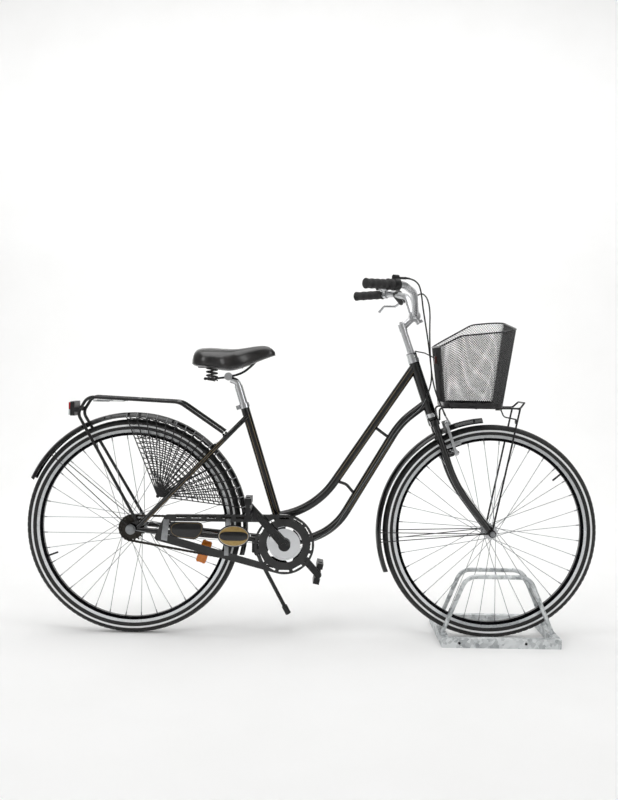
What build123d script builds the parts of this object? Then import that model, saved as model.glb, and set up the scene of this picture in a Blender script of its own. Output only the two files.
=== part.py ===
from build123d import *
import math
import os

# City bicycle held upright by its front wheel in a floor stand.
# X points forward, Y to the rider's left, Z up; the origin is on the floor under the front hub.

# ---- wheels
wheel_radius = 349.0
tyre_section = 38.0
tyre_wall = 3.5
rim_outer = 316.0
rim_inner = 297.0
rim_width = 25.0
spoke_radius = 1.0
spokes_per_side = 18
valve_radius = 3.0
wheelbase = 1160.0

# ---- frame and fork angles
head_angle = 70.8
fork_offset = 62.0
seat_angle = 72.6
seat_tube_length = 469.0
frame_tube = 14.3
stay_tube = 8.0
head_tube_bottom = 428.0
head_tube_top = 602.0
bracket_height = 306.0

# ---- drive
chain_pitch = 12.7
chain_links = 108
ring_teeth = 40
sprocket_teeth = 20
chain_line = 46.5
crank_length = 168.0
crank_rise = 48.0
roller_radius = 3.9
crank_boss = 19.5

# ---- axles
front_drop_gap = 100.0
rear_drop_gap = 120.0
front_axle_radius = 4.5
rear_axle_radius = 5.0
drop_plate = 5.0

# ---- fits
running = 0.05
seat_gap = 0.3
contact = 0.02

# ---- stand
stand_length = 378.0
stand_near = 140.0
stand_far = 200.0
bar_width = 24.0
bar_height = 30.0
bar_wall = 3.0
hoop_radius = 7.0
hoop_offset = 59.0
hoop_height = 210.0
hoop_top_half = 102.0
bolt_hole_radius = 4.5
bolt_hole_x = (-111.0, 100.0)

# ---- fenders, racks, basket
fender_radius = 372.0
fender_width = 50.0
fender_depth = 16.0
fender_sheet = 1.2
rack_rod = 3.0
rear_rack_tube = 5.0
platform_height = 754.0
platform_half = 62.0
basket_wall = 2.0
basket_top = 1045.0
rim_lean = 0.118
rim_rise = 0.11

# ---- handlebar and saddle
bar_radius = 11.1
clamp_radius = 12.7
grip_radius = 16.0
post_radius = 13.6
saddle_height = 820.0

stand_back = math.sqrt((wheel_radius + seat_gap) ** 2 - (wheel_radius - bar_height) ** 2)
stand_centre = stand_length / 2 - bar_width - stand_back
hub = Vector(0, 0, wheel_radius)
rear_hub = Vector(-wheelbase, 0, wheel_radius)
tilt = math.radians(head_angle)
steer_up = Vector(-math.cos(tilt), 0, math.sin(tilt))
steer_ahead = Vector(math.sin(tilt), 0, math.cos(tilt))
steer_foot = hub - steer_ahead * fork_offset


def centre_distance():
    """Distance between the cranks and the rear hub that takes a whole number of links."""
    spread = ((ring_teeth - sprocket_teeth) / (2 * math.pi)) ** 2
    free = chain_links - (ring_teeth + sprocket_teeth) / 2
    return chain_pitch * (free + math.sqrt(free ** 2 - 8 * spread)) / 4


drop = wheel_radius - bracket_height
bracket = Vector(-wheelbase + math.sqrt(centre_distance() ** 2 - drop ** 2), 0, bracket_height)
seat_turn = math.radians(seat_angle)
seat_up = Vector(-math.cos(seat_turn), 0, math.sin(seat_turn))
seat_top = bracket + seat_up * seat_tube_length


def on_steerer(up, ahead=0.0, side=0.0):
    """Point measured along the steering axis, ahead of it and to the left."""
    return steer_foot + steer_up * up + steer_ahead * ahead + Vector(0, side, 0)


def bends(points, share=0.45):
    """Largest even radius for each corner of a route."""
    radii = []
    for before, corner, after in zip(points, points[1:], points[2:]):
        arrive = Vector(*corner) - Vector(*before)
        leave = Vector(*after) - Vector(*corner)
        half = math.radians(arrive.get_angle(leave)) / 2
        radii.append(share * min(arrive.length, leave.length) / math.tan(half))
    return radii


def route(points, radii=None):
    if len(points) == 2:
        return Line(*points)
    return FilletPolyline(*points, radius=radii or bends(points))


def rod(points, radius, radii=None):
    """Round bar along straight runs joined by arcs."""
    path = route(points, radii)
    return sweep(Plane(origin=path @ 0, z_dir=path % 0) * Circle(radius), path=path)


def bar(start, end, radius):
    """Straight round bar between two points."""
    along = Vector(*end) - Vector(*start)
    base = Plane(origin=start, z_dir=along)
    return base * Cylinder(radius, along.length, align=(Align.CENTER, Align.CENTER, Align.MIN))


def both(shape):
    """The shape and its mirror image on the other side of the bicycle."""
    return Compound(children=[shape, mirror(shape, about=Plane.XZ)])


def flip(shape):
    return mirror(shape, about=Plane.XZ)


def cross_bar(x, z, half, radius):
    return bar((x, -half, z), (x, half, z), radius)


def ring(radius, hole, low, high):
    """Ring round a Y axis from low to high."""
    middle = (low + high) / 2
    blank = Cylinder(radius, high - low)
    if hole:
        blank -= Cylinder(hole, high - low + 1)
    return Pos(0, middle, 0) * Rot(90, 0, 0) * blank


def hexagon(across, hole, low, high):
    """Nut round a Y axis."""
    blank = extrude(RegularPolygon(across / 2, 6, major_radius=False), amount=(high - low) / 2, both=True)
    if hole:
        blank -= Cylinder(hole, high - low + 1)
    return Pos(0, (low + high) / 2, 0) * Rot(90, 0, 0) * blank


def plate(outline, low, high):
    """Flat plate cut to an outline in X and Z, between two Y values."""
    face = Plane.XZ * make_face(Polyline(*outline, close=True))
    return Pos(0, high, 0) * extrude(face, amount=high - low)


# ------------------------------------------------------------------ stand
def make_stand_base():
    depth = stand_near + stand_far
    middle = (stand_far - stand_near) / 2
    inner_length = stand_length - 2 * bar_width
    inner_depth = depth - 2 * bar_width
    frame = Box(stand_length, depth, bar_height) - Box(inner_length, inner_depth, bar_height + 1)
    hollow = Box(stand_length - 2 * bar_wall, depth - 2 * bar_wall, bar_height)
    hollow -= Box(inner_length + 2 * bar_wall, inner_depth + 2 * bar_wall, bar_height + 1)
    frame -= Pos(0, 0, -bar_wall) * hollow
    base = Pos(stand_centre, middle, bar_height / 2) * frame
    for x in bolt_hole_x:
        drill = Rot(90, 0, 0) * Cylinder(bolt_hole_radius, 4 * bar_wall)
        base -= Pos(x, -stand_near, bar_height / 2) * drill
    return base


def make_stand_hoops():
    foot_half = (stand_length - bar_width) / 2
    lean = (foot_half - hoop_top_half) / (hoop_height - bar_height)
    below = 10.0
    low_half = foot_half + lean * below
    low = bar_height - below
    outline = [
        (stand_centre - low_half, -hoop_offset, low),
        (stand_centre - hoop_top_half, -hoop_offset, hoop_height),
        (stand_centre + hoop_top_half, -hoop_offset, hoop_height),
        (stand_centre + low_half, -hoop_offset, low),
    ]
    hoop = rod(outline, hoop_radius, [48.0, 48.0])
    trim = Pos(stand_centre, -hoop_offset, low) * Box(2 * stand_length, 4 * hoop_radius, 2 * below)
    return both(hoop - trim)


# ------------------------------------------------------------------ wheels
def turned(section):
    return revolve(section, axis=Axis.Y)


tube_centre = wheel_radius - tyre_section / 2


def make_tyre():
    section = Pos(tube_centre, 0) * Circle(tyre_section / 2)
    section -= Pos(tube_centre, 0) * Circle(tyre_section / 2 - tyre_wall)
    well = rim_outer + 0.2 - tube_centre + tyre_section / 2
    section -= Pos(tube_centre - tyre_section / 2 + well / 2, 0) * Rectangle(well, 2 * tyre_section)
    return turned(section)


def make_inner_tube(valve_angle):
    radius = tyre_section / 2 - tyre_wall - seat_gap
    floor_radius = rim_outer + 0.4
    section = Pos(tube_centre, 0) * Circle(radius)
    cut = floor_radius - tube_centre + radius
    section -= Pos(tube_centre - radius + cut / 2, 0) * Rectangle(cut, 3 * radius)
    tube = turned(section)
    stem = bar((rim_inner - 32, 0, 0), (floor_radius + 1, 0, 0), valve_radius)
    return tube + Rot(0, -valve_angle, 0) * stem


def make_rim(valve_angle):
    half = rim_width / 2
    bed = half - 6
    section = make_face(
        Polyline(
            (rim_outer, -half),
            (rim_outer, -bed),
            (rim_outer - 6, -bed),
            (rim_outer - 6, bed),
            (rim_outer, bed),
            (rim_outer, half),
            (rim_outer - 11, half),
            (rim_inner, half - 5),
            (rim_inner, 5 - half),
            (rim_outer - 11, -half),
            close=True,
        )
    )
    rim = turned(section)
    drill = bar((rim_inner - 2, 0, 0), (rim_outer, 0, 0), valve_radius + 1)
    return rim - Rot(0, -valve_angle, 0) * drill


def make_spokes(flange_y, flange_hole, flange_sheet):
    """Crossed spokes lying against the inner faces of the hub flanges."""
    step = 360 / spokes_per_side
    layer = 2 * spoke_radius + 0.4
    spokes = []
    for side in (-1, 1):
        for i in range(spokes_per_side):
            lean = 1 if i % 2 else -1
            at_rim = math.radians(step * i + (step / 2 if side < 0 else 0))
            at_hub = at_rim + lean * math.radians(62)
            inset = layer if lean > 0 else 0
            y_hub = flange_y - flange_sheet / 2 - spoke_radius - seat_gap / 2 - inset
            y_rim = 1.5 + layer - inset
            hub_end = (flange_hole * math.cos(at_hub), side * y_hub, flange_hole * math.sin(at_hub))
            reach = rim_inner - 0.2
            rim_end = (reach * math.cos(at_rim), side * y_rim, reach * math.sin(at_rim))
            spokes.append(bar(hub_end, rim_end, spoke_radius))
    return Compound(children=spokes)


def make_hub(flange_y, flange_radius, flange_sheet, body, half_width, bore):
    hub_shell = ring(body, 0, -half_width, half_width)
    for side in (-1, 1):
        y = side * flange_y
        hub_shell += ring(flange_radius, 0, y - flange_sheet / 2, y + flange_sheet / 2)
    return hub_shell - ring(bore, 0, -half_width - 1, half_width + 1)


def make_axle(radius, half_length, cone_from, gap):
    """Threaded axle with the cones and lock nuts that stand against the drop-outs."""
    axle = ring(radius, 0, -half_length, half_length)
    for side in (-1, 1):
        ends = sorted((side * cone_from, side * (gap / 2 - contact)))
        axle += ring(radius + 4, 0, *ends)
    return axle


def make_nuts(radius, low, across):
    nut = hexagon(across, radius + contact, low + 1.5, low + 10)
    nut += ring(across / 2 + 1, radius + contact, low, low + 1.5)
    return both(nut)


def make_axle_set(radius, half_length, cone_from, gap, nut_from, across):
    axle = make_axle(radius, half_length, cone_from, gap)
    return Compound(children=[axle, make_nuts(radius, nut_from, across)])


# ------------------------------------------------------------------ fork
blade_radius = 10.5
steerer_radius = 12.7
quill_radius = 11.1
crown_low = 388.0
crown_high = head_tube_bottom - 14
stud_up = 283.0
stud_side = 42.0
front_plate_y = front_drop_gap / 2
front_stack = front_plate_y + drop_plate + contact
front_stay_eye = 3.0
rack_eye = 4.0


def make_fork():
    top = on_steerer(crown_low + 4, 0, 39)
    end = hub + Vector(-10, front_plate_y + drop_plate / 2, 12)
    knee = on_steerer(185, 0, 47)
    blade = rod([top, knee, end], blade_radius, [420.0])
    tab = plate([(-22, 20), (-4, 26), (12, 2), (9, -9), (-9, -9), (-12, 0)], 0, drop_plate)
    blade += Pos(0, front_plate_y, wheel_radius) * tab
    stud = bar(on_steerer(stud_up, 0, stud_side), on_steerer(stud_up, 44, stud_side), 4.0)
    blade += stud + bar(on_steerer(stud_up, 0, stud_side), on_steerer(stud_up, 26, stud_side), 7.0)
    crown_face = Plane(origin=on_steerer(crown_low), x_dir=(0, 1, 0), z_dir=steer_up)
    crown = extrude(crown_face * RectangleRounded(98, 30, 11), amount=crown_high - crown_low - 8)
    fork = crown + bar(on_steerer(crown_low), on_steerer(crown_high), 17.5)
    fork += bar(on_steerer(crown_low), on_steerer(head_tube_top + 30), steerer_radius)
    for side in (blade, flip(blade)):
        fork += side
    fork -= bar(on_steerer(crown_low + 20), on_steerer(head_tube_top + 60), quill_radius + running)
    slot = ring(front_axle_radius + 0.1, 0, -80, 80)
    slot += Pos(0, 0, -15) * Box(2 * front_axle_radius + 0.2, 160, 30)
    fork -= Pos(0, 0, wheel_radius) * slot
    return fork


def make_headset_cups():
    """Cups pressed on the ends of the head tube."""
    lower = bar(on_steerer(head_tube_bottom - 13), on_steerer(head_tube_bottom - contact), 19.0)
    upper = bar(on_steerer(head_tube_top + contact), on_steerer(head_tube_top + 13), 18.5)
    bore = bar(on_steerer(crown_low), on_steerer(head_tube_top + 60), steerer_radius + running)
    return Compound(children=[lower - bore, upper - bore])


def make_headset_nut():
    nut = bar(on_steerer(head_tube_top + 13.3), on_steerer(head_tube_top + 30), 17.0)
    return nut - bar(on_steerer(head_tube_top), on_steerer(head_tube_top + 60), steerer_radius + contact)


bar_centre = Vector(-258, 0, 1046)
stem_top = 728.0
clamp_half = 19.0
clamp_wall = 5.5
bolt_head = 6.5


def make_stem():
    stem = bar(on_steerer(480), on_steerer(stem_top), quill_radius)
    knee = on_steerer(stem_top - 8)
    stem += bar(on_steerer(stem_top - 20), on_steerer(stem_top + 5), 12.8)
    stem += bar(knee, bar_centre, 10.5)
    stem += Pos(bar_centre) * ring(clamp_radius + clamp_wall, 0, -clamp_half, clamp_half)
    ear = Pos(bar_centre) * Rot(0, -35, 0) * Pos(0, 0, -clamp_radius - 8) * Box(16, 22, 16)
    stem += ear
    slit = Pos(bar_centre) * Rot(0, -35, 0) * Pos(0, 0, -clamp_radius - 9) * Box(2.5, 60, 26)
    bore = Pos(bar_centre) * ring(clamp_radius + contact, 0, -clamp_half - 1, clamp_half + 1)
    pocket = bar(on_steerer(stem_top + 5), on_steerer(stem_top + 40), bolt_head + seat_gap)
    return stem - bore - slit - pocket


def make_stem_bolts():
    expander = bar(on_steerer(stem_top + 5 + contact), on_steerer(stem_top + 12), bolt_head)
    expander -= bar(on_steerer(stem_top + 8), on_steerer(stem_top + 14), 3.5)
    frame = Pos(bar_centre) * Rot(0, -35, 0) * Pos(0, 0, -clamp_radius - 12) * Rot(0, 90, 0)
    clamp_bolt = frame * Pos(0, 0, 8.1) * Cylinder(5.5, 6, align=(Align.CENTER, Align.CENTER, Align.MIN))
    return Compound(children=[expander, clamp_bolt])


grip_end = Vector(-434, 294, 1128)
bar_bend = Vector(-312, 203, 1132)
bar_knee = Vector(-272, 108, 1116)
bar_low = Vector(-258, 34, 1046)
grip_in = (bar_bend - grip_end).normalized()


def make_handlebar():
    left = [grip_end, bar_bend, bar_knee, bar_low]
    right = [Vector(p.X, -p.Y, p.Z) for p in reversed(left)]
    middle = [bar_centre + Vector(0, 20, 0), bar_centre - Vector(0, 20, 0)]
    radii = [60.0, 60.0, 42.0, 42.0, 60.0, 60.0]
    tube = rod(left + right, bar_radius, radii)
    sleeve = bar(middle[0], middle[1], clamp_radius)
    return tube + sleeve


def along_grip(start, length, radius, hole=bar_radius + contact, side=1):
    """Sleeve on the straight end of the handlebar; side is 1 on the left and -1 on the right."""
    sleeve = bar(grip_end + grip_in * start, grip_end + grip_in * (start + length), radius)
    if hole:
        sleeve -= bar(grip_end + grip_in * (start - 1), grip_end + grip_in * (start + length + 1), hole)
    return sleeve if side > 0 else flip(sleeve)


grip_length = 112.0
short_grip = 86.0
sleeve_length = 20.0
shifter_length = 20.0


def make_grip(length, side):
    sleeve = along_grip(0, length, grip_radius, side=side)
    return sleeve + along_grip(-4, 4 - contact, grip_radius + 0.5, hole=0, side=side)


def make_shifter_sleeve():
    return along_grip(short_grip + seat_gap, sleeve_length, 17.5, bar_radius + running, -1)


def make_shifter_housing():
    start = short_grip + sleeve_length + 2 * seat_gap
    housing = along_grip(start, shifter_length, 19.0, side=-1)
    low = grip_end + grip_in * (start + 2)
    high = grip_end + grip_in * (start + shifter_length)
    rise = Vector(0, 0, 22)
    window = flip(bar(low + rise, high + rise, 8.0))
    neck = flip(bar(low + rise * 0.7, high + rise * 0.7, 8.0))
    spout = bar(cable_out_start, cable_out, 4.0)
    body = housing + window + neck + spout
    inner = flip(bar(grip_end, grip_end + grip_in * 150, bar_radius + contact))
    return body - inner


cable_out_start = Vector(-338, -212, 1152)
cable_out = Vector(-306, -196, 1153)

bar_down = (bar_knee - bar_bend).normalized()
lever_mount = bar_bend + bar_down * 37
lever_pivot = Vector(-284, 175, 1104)
lever_knee = Vector(-303, 208, 1089)
lever_bend = Vector(-338, 258, 1092)
lever_tip = Vector(-352, 272, 1074)
lever_axis = Vector(0.600, 0.604, 0.524)
lever_half = 4.0
pin_radius = 2.5


def make_lever_bracket():
    """Clamp on the handlebar with two ears round the lever's hub, and its pin."""
    reach = lever_mount - lever_pivot
    face = Plane(origin=lever_pivot, x_dir=reach, z_dir=lever_axis)
    outline = make_hull([*Circle(9).edges(), *(Pos(reach.length, 0) * Circle(15.5)).edges()])
    block = face * extrude(outline, amount=8, both=True)
    block -= face * Cylinder(13, 2 * lever_half + 2)
    block -= bar(lever_mount - bar_down * 40, lever_mount + bar_down * 40, bar_radius + contact)
    return block + face * Cylinder(pin_radius, 16)


def make_brake_lever():
    face = Plane(origin=lever_pivot, z_dir=lever_axis)
    lever = rod([lever_pivot, lever_knee, lever_bend, lever_tip], lever_half, [20.0, 14.0])
    lever += face * Cylinder(7, 2 * lever_half)
    lever += Pos(lever_tip) * Sphere(lever_half + 1)
    return lever - face * Cylinder(pin_radius + running, 30)


bell_axis = Vector(-0.25, -0.60, 0.76).normalized()
bell_start = 117.0
bell_mount = grip_end + grip_in * (bell_start + 5)
bell_radius = 20.0
bell_neck = 9.0


def make_bell_base():
    base = along_grip(bell_start, 10, 14.5)
    base += bar(bell_mount + bell_axis * 12.5, bell_mount + bell_axis * 24, bell_neck)
    base += bar(bell_mount + bell_axis * 23, bell_mount + bell_axis * 25, bell_radius - 3)
    base += bar(bell_mount + bell_axis * 24, bell_mount + bell_axis * 42, 2.5)
    return base - bar(grip_end, grip_end + grip_in * 135, bar_radius + contact)


def make_bell_dome():
    face = Plane(origin=bell_mount + bell_axis * 27, z_dir=bell_axis)
    shell = Sphere(bell_radius) - Sphere(bell_radius - 1.2)
    shell = scale(shell, by=(1, 1, 0.75))
    shell -= Pos(0, 0, -bell_radius) * Box(60, 60, 2 * bell_radius)
    shell -= Cylinder(2.5 + contact, 60)
    return face * shell


def make_bell_lever():
    face = Plane(origin=bell_mount + bell_axis * 20, x_dir=grip_in, z_dir=bell_axis)
    lever = Cylinder(11, 3) - Cylinder(bell_neck + running, 4)
    lever += Pos(-19, 0, 0) * Box(18, 7, 3)
    lever += Pos(-28, 0, 1) * Cylinder(5, 5)
    return face * lever


cable_radius = 2.5
wire_radius = 0.8
front_cable_points = [
    (-270, 160, 1102),
    (-250, 132, 1112),
    (-236, 96, 1124),
    (-224, 62, 1126),
    (-211, 34, 1105),
    (-205, 15, 1062),
    (-207, 4, 1005),
    (-206, -3, 948),
    (-203, -8, 890),
    (-196, -16, 838),
    (-186, -32, 795),
    (-171, -47, 758),
    (-158, -54, 727),
]
gear_cable_points = [
    (-304.5, -195.2, 1153),
    (-284, -180, 1152),
    (-262, -152, 1140),
    (-250, -118, 1116),
    (-240, -82, 1072),
    (-228, -54, 1022),
    (-217, -40, 970),
    (-209, -36, 915),
    (-202, -36, 862),
    (-204, -32, 822),
    (-214, -27, 792),
]
stop_way = (Vector(*gear_cable_points[-1]) - Vector(*gear_cable_points[-2])).normalized()
stop_start = Vector(*gear_cable_points[-1]) + stop_way * contact
stop_end = stop_start + stop_way * 12
gear_wire_points = [
    stop_end + stop_way * seat_gap,
    (-232, -17, 750),
    (-300, -15.6, 690),
    (-440, -15.6, 461),
    (-508, -15.6, 352),
    (-560, -15.6, 318),
    (-615, -15.6, 291),
    (-668, -20, 278),
    (-730, -31, 301),
    (-1080, -60, 330),
    (-1122, -73, 342),
    (-1145, -85, 348),
]


# ------------------------------------------------------------------ front fender, rack, basket
def make_fender(first, last):
    """Curved sheet from one angle back to another, counted up from straight ahead."""
    half = fender_width / 2
    curve = (half ** 2 + fender_depth ** 2) / (2 * fender_depth)
    centre = fender_radius - curve
    section = Pos(centre, 0) * Circle(curve)
    section -= Pos(centre, 0) * Circle(curve - fender_sheet)
    low = fender_radius - fender_depth
    section -= Pos(low - curve, 0) * Rectangle(2 * curve, 4 * curve)
    return Rot(0, -last, 0) * revolve(section, axis=Axis.Y, revolution_arc=last - first)


def on_fender(angle, radius, side=0.0):
    turn = math.radians(angle)
    return Vector(radius * math.cos(turn), side, radius * math.sin(turn))


def make_front_fender():
    fender = make_fender(95, 199)
    flap = make_fender(191, 202)
    bracket_tab = bar(on_steerer(365, 2), on_steerer(crown_low - seat_gap, 2), 5)
    return Pos(hub) * (fender + flap) + bracket_tab


def make_front_stays():
    """Two pairs of thin stay rods from the front fender down to the axle."""
    stay_rod = front_stay_eye / 2
    side = fender_width / 2 + stay_rod + 0.2
    stay = Pos(hub) * ring(9, front_axle_radius + 0.1, -front_stack - front_stay_eye, -front_stack)
    for angle, low in ((181, 1.5), (186, -1.5)):
        start = hub + on_fender(angle, fender_radius - 10, -side)
        knee = hub + Vector(-42, -front_stack - stay_rod, low - 2)
        stay += rod([start, knee, hub + Vector(-6, -front_stack - stay_rod, low)], stay_rod, [40.0])
    return both(stay)


rack_front = 80.0
rack_back = -178.0


def make_front_rack():
    side = [
        on_steerer(400, 15 + rack_rod + seat_gap, -26),
        (rack_back, -platform_half, platform_height),
        (rack_front, -platform_half, platform_height),
        (rack_front + 16, -platform_half + 14, platform_height + 18),
    ]
    rail = rod(side, rack_rod, [14.0, 12.0])
    eye_face = front_stack + front_stay_eye + contact
    foot = hub + Vector(0, -eye_face - rack_rod - 0.1, 10)
    rail += bar((rack_front, -platform_half - 1, platform_height), foot, rack_rod)
    rail += Pos(hub) * ring(12, front_axle_radius + 0.1, -eye_face - rack_eye, -eye_face)
    rack = rail + flip(rail)
    for x in (rack_back + 40, -60, 20, rack_front - 4):
        rack += cross_bar(x, platform_height - 2, platform_half, rack_rod - 0.5)
    lip = platform_half - 14
    rack += cross_bar(rack_front + 16, platform_height + 18, lip, rack_rod)
    return rack


front_nut_face = front_stack + front_stay_eye + rack_eye + 2 * contact


def make_lamp_bracket():
    hanger = rod([(30, 0, platform_height - 7.3), (40, 0, 724), (78, 0, 716.5)], 2.2, [14.0])
    eye = Pos(79, 0, 710) * Rot(0, 90, 0) * (Cylinder(9, 3) - Cylinder(4, 4))
    hook = bar((12, 0, platform_height - 7.3), (33, 0, platform_height - 7.3), 2.2)
    return hanger + eye + hook


def basket_body(inset, low):
    bottom = Pos(-74, 0, low) * RectangleRounded(184 - 2 * inset, 260 - 2 * inset, 45 - inset)
    top = Pos(-70, 0, basket_top) * RectangleRounded(256 - 2 * inset, 340 - 2 * inset, 62 - inset)
    return loft([bottom, top], ruled=True)


basket_floor = platform_height + rack_rod + seat_gap


def make_basket():
    """Mesh basket as a thin shell; its rim leans to the right and falls towards the rider."""
    basket = basket_body(0, basket_floor)
    inner = basket_body(basket_wall, basket_floor + basket_wall)
    basket -= inner
    lean = Plane(origin=(-42, 0, 1012), z_dir=(-rim_rise, -rim_lean, 1))
    fall = Plane(origin=(-174, 0, 958), z_dir=(-0.569, 0, 1))
    for cut in (lean, fall):
        basket -= cut * Pos(0, 0, 200) * Box(900, 900, 400)
    return basket


def make_basket_strut():
    """Bent rod from the head set to the back of the basket, with its clip."""
    ring_plate = Plane(origin=on_steerer(head_tube_top + 30.8), z_dir=steer_up)
    eye = ring_plate * (Cylinder(17, 1.5) - Cylinder(quill_radius + 0.1, 3))
    points = [on_steerer(head_tube_top + 33.7, 14), (-222, 0, 928), (-199, 0, 917), (-186.9, 0, 909)]
    strut = rod(points, 2.0, [16.0, 16.0])
    clip = Pos(-185.0, 0, 905.7) * Rot(0, -6.3, 0) * Box(4, 16, 20)
    return eye + strut + clip


# ------------------------------------------------------------------ front brake
pad_gap = 2.6
pad_sheet = 10.0
arm_ahead = 29.0
link_up = 98.0
link_ahead = 13.5
noodle_radius = 2.4
noodle_gap = 0.8


def brake_plane():
    return Plane(origin=on_steerer(stud_up, arm_ahead), x_dir=(0, 1, 0), z_dir=steer_ahead)


def make_brake_arm():
    """Left brake arm with its pad; it turns on the stud."""
    outline = [(33, -6), (42, -9), (51, -6), (52, 40), (50, 100), (40, 104), (38, 96), (42, 40)]
    arm = extrude(make_face(Polyline(*outline, close=True)), amount=9)
    arm += Pos(stud_side, 0, 0) * Cylinder(9, 12, align=(Align.CENTER, Align.CENTER, Align.MIN))
    rim_half = rim_width / 2 + pad_gap
    rise = 24.5
    arm += Pos(rim_half + pad_sheet + 9, rise, 4.5) * Rot(0, 90, 0) * Cylinder(3, 30)
    arm += Pos(rim_half + pad_sheet / 2, rise, 4.5) * Box(pad_sheet, 9, 56)
    arm += Pos(42, link_up, link_ahead - 1) * Box(8, 11, 11)
    arm -= Pos(42, link_up, link_ahead) * Rot(0, 90, 0) * Cylinder(noodle_radius + contact, 30)
    arm -= Pos(stud_side, 0, 0) * Cylinder(4.0 + running, 60)
    return brake_plane() * arm


def on_link(side):
    """Point on the line of the link wire, through the tops of both brake arms."""
    return on_steerer(stud_up + link_up, arm_ahead + link_ahead, side)


def make_noodle():
    """Bent guide tube, its boot and the bare link wire across the tops of the arms."""
    way = (Vector(*front_cable_points[-1]) - Vector(*front_cable_points[-2])).normalized()
    start = Vector(*front_cable_points[-1]) + way * noodle_gap
    tube = rod([start, on_link(-63), on_link(-34)], noodle_radius, [13.0])
    return tube + bar(on_link(-35), on_link(12), 4.0) + bar(on_link(10), on_link(48), 1.0)


# ------------------------------------------------------------------ frame
stay_root = Vector(-680, 27, 309)
stay_end = Vector(-1140, rear_drop_gap / 2 + drop_plate / 2, 347)
seat_stay_points = [(-797, 15, 713), (-852, 40, 656), (-1140, rear_drop_gap / 2 + drop_plate / 2, 354)]
bracket_shell = 20.0
bracket_half = 34.0
cup_radius = 17.0
crank_axle_radius = 8.0


bridge_radius = 6.0
rack_foot = Vector(-870, -53.5, 661)


def make_frame():
    head = bar(on_steerer(head_tube_bottom), on_steerer(head_tube_top), 17.0)
    seat = bar(bracket, seat_top, frame_tube)
    main = rod([(-252, 0, 887), (-567, 0, 417), (-690, 0, 388)], frame_tube, [265.0])
    down = rod([(-211, 0, 767), (-297, 0, 700), (-520, 0, 322), (-655, 0, 306)], frame_tube, [240.0, 200.0])
    frame = head + seat + main + down
    frame += bar((-388, 0, 690), (-330, 0, 648), 5.0)
    frame += rod([(-508, 0, 508), (-470, 0, 496), (-442, 0, 464)], 5.0, [30.0])
    frame += Pos(bracket) * ring(bracket_shell, 0, -bracket_half, bracket_half)
    stay = bar(stay_root, stay_end, stay_tube) + rod(seat_stay_points, stay_tube, [60.0])
    tab = plate([(-15, -12), (-15, 12), (-4, 17), (22, 30), (30, 22), (26, -6), (2, -15)], 0, drop_plate)
    stay += Pos(-wheelbase, rear_drop_gap / 2, wheel_radius) * tab
    for side in (stay, flip(stay)):
        frame += side
    bridge = rear_hub + on_fender(-4.85, fender_radius + bridge_radius + seat_gap)
    frame += cross_bar(bridge.X, bridge.Z, 34, bridge_radius)
    for side in (-1, 1):
        lug = Vector(rack_foot.X, -side * rack_foot.Y, rack_foot.Z)
        stay_mid = Vector(-866, side * 41.1, 641.3)
        reach_out = lug - stay_mid
        frame += bar(stay_mid, lug - reach_out.normalized() * (rear_rack_tube + seat_gap), 4.0)
    reach = fender_radius + 5.6
    frame += cross_bar(-wheelbase + reach * 0.695, wheel_radius + reach * 0.719, 42, 5.0)
    frame += bar(stop_start, stop_end, 4.0) + bar(on_steerer(483, 0, -14), (stop_start + stop_end) * 0.5, 2.5)
    frame -= bar(on_steerer(head_tube_bottom - 14), on_steerer(head_tube_top + 14), 14.5)
    frame -= bar(on_steerer(head_tube_bottom - 14), on_steerer(head_tube_bottom), 20.0)
    frame -= bar(on_steerer(head_tube_top), on_steerer(head_tube_top + 14), 20.0)
    frame -= bar(bracket + seat_up * 200, seat_top + seat_up * 30, post_radius + running)
    frame -= Pos(bracket) * ring(cup_radius, 0, -bracket_half - 1, bracket_half + 1)
    for low, high in ((bracket_half, bracket_half + 8), (-bracket_half - 8, -bracket_half)):
        frame -= Pos(bracket) * ring(bracket_shell + 1, 0, low, high)
    slot = ring(rear_axle_radius + 0.1, 0, -80, 80)
    slot += Pos(-15, 0, 0) * Box(30, 160, 2 * rear_axle_radius + 0.2)
    return frame - Pos(rear_hub) * slot


def make_bracket_cups():
    cup = ring(cup_radius - contact, 0, bracket_half - 14, bracket_half + 1)
    cup += ring(bracket_shell - 0.5, 0, bracket_half + contact, bracket_half + 3)
    cup -= ring(crank_axle_radius + running, 0, 0, 60)
    return Pos(bracket) * both(cup)


def make_seat_clamp():
    face = Plane(origin=seat_top - seat_up * 14, z_dir=seat_up, x_dir=(0, 1, 0))
    up = (Align.CENTER, Align.CENTER, Align.MIN)
    collar = Cylinder(17.5, 15, align=up) + Pos(0, 20, 7.5) * Box(13, 14, 14)
    collar -= Cylinder(frame_tube + contact, 14 + contact, align=up)
    collar -= Cylinder(post_radius + running + 0.2, 30)
    collar -= Pos(0, 22, 7.5) * Box(2, 20, 20)
    return face * collar


def make_clamp_bolt():
    face = Plane(origin=seat_top - seat_up * 6.5, z_dir=seat_up, x_dir=(0, 1, 0))
    ends = [face * Pos(x, 22, 0) * Rot(0, 90, 0) * Cylinder(4.5, 4) for x in (-8.6, 8.6)]
    return Compound(children=ends)


rear_stack = rear_drop_gap / 2 + drop_plate + contact
rear_stay_eye = 3.0
rear_nut_face = rear_stack + rear_stay_eye + contact


def make_rear_fender():
    return Pos(rear_hub) * make_fender(-14, 155.4)


def make_rear_fender_stays():
    stay_rod = rear_stay_eye / 2
    side = fender_width / 2 + stay_rod + 0.2
    start = rear_hub + on_fender(139, fender_radius - 10, -side)
    stop = rear_hub + Vector(-5, -rear_stack - stay_rod, 5)
    knee = stop + Vector(-30, 0, 26)
    eye = Pos(rear_hub) * ring(10, rear_axle_radius + 0.1, -rear_stack - rear_stay_eye, -rear_stack)
    return both(rod([start, knee, stop], stay_rod, [40.0]) + eye)


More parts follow.
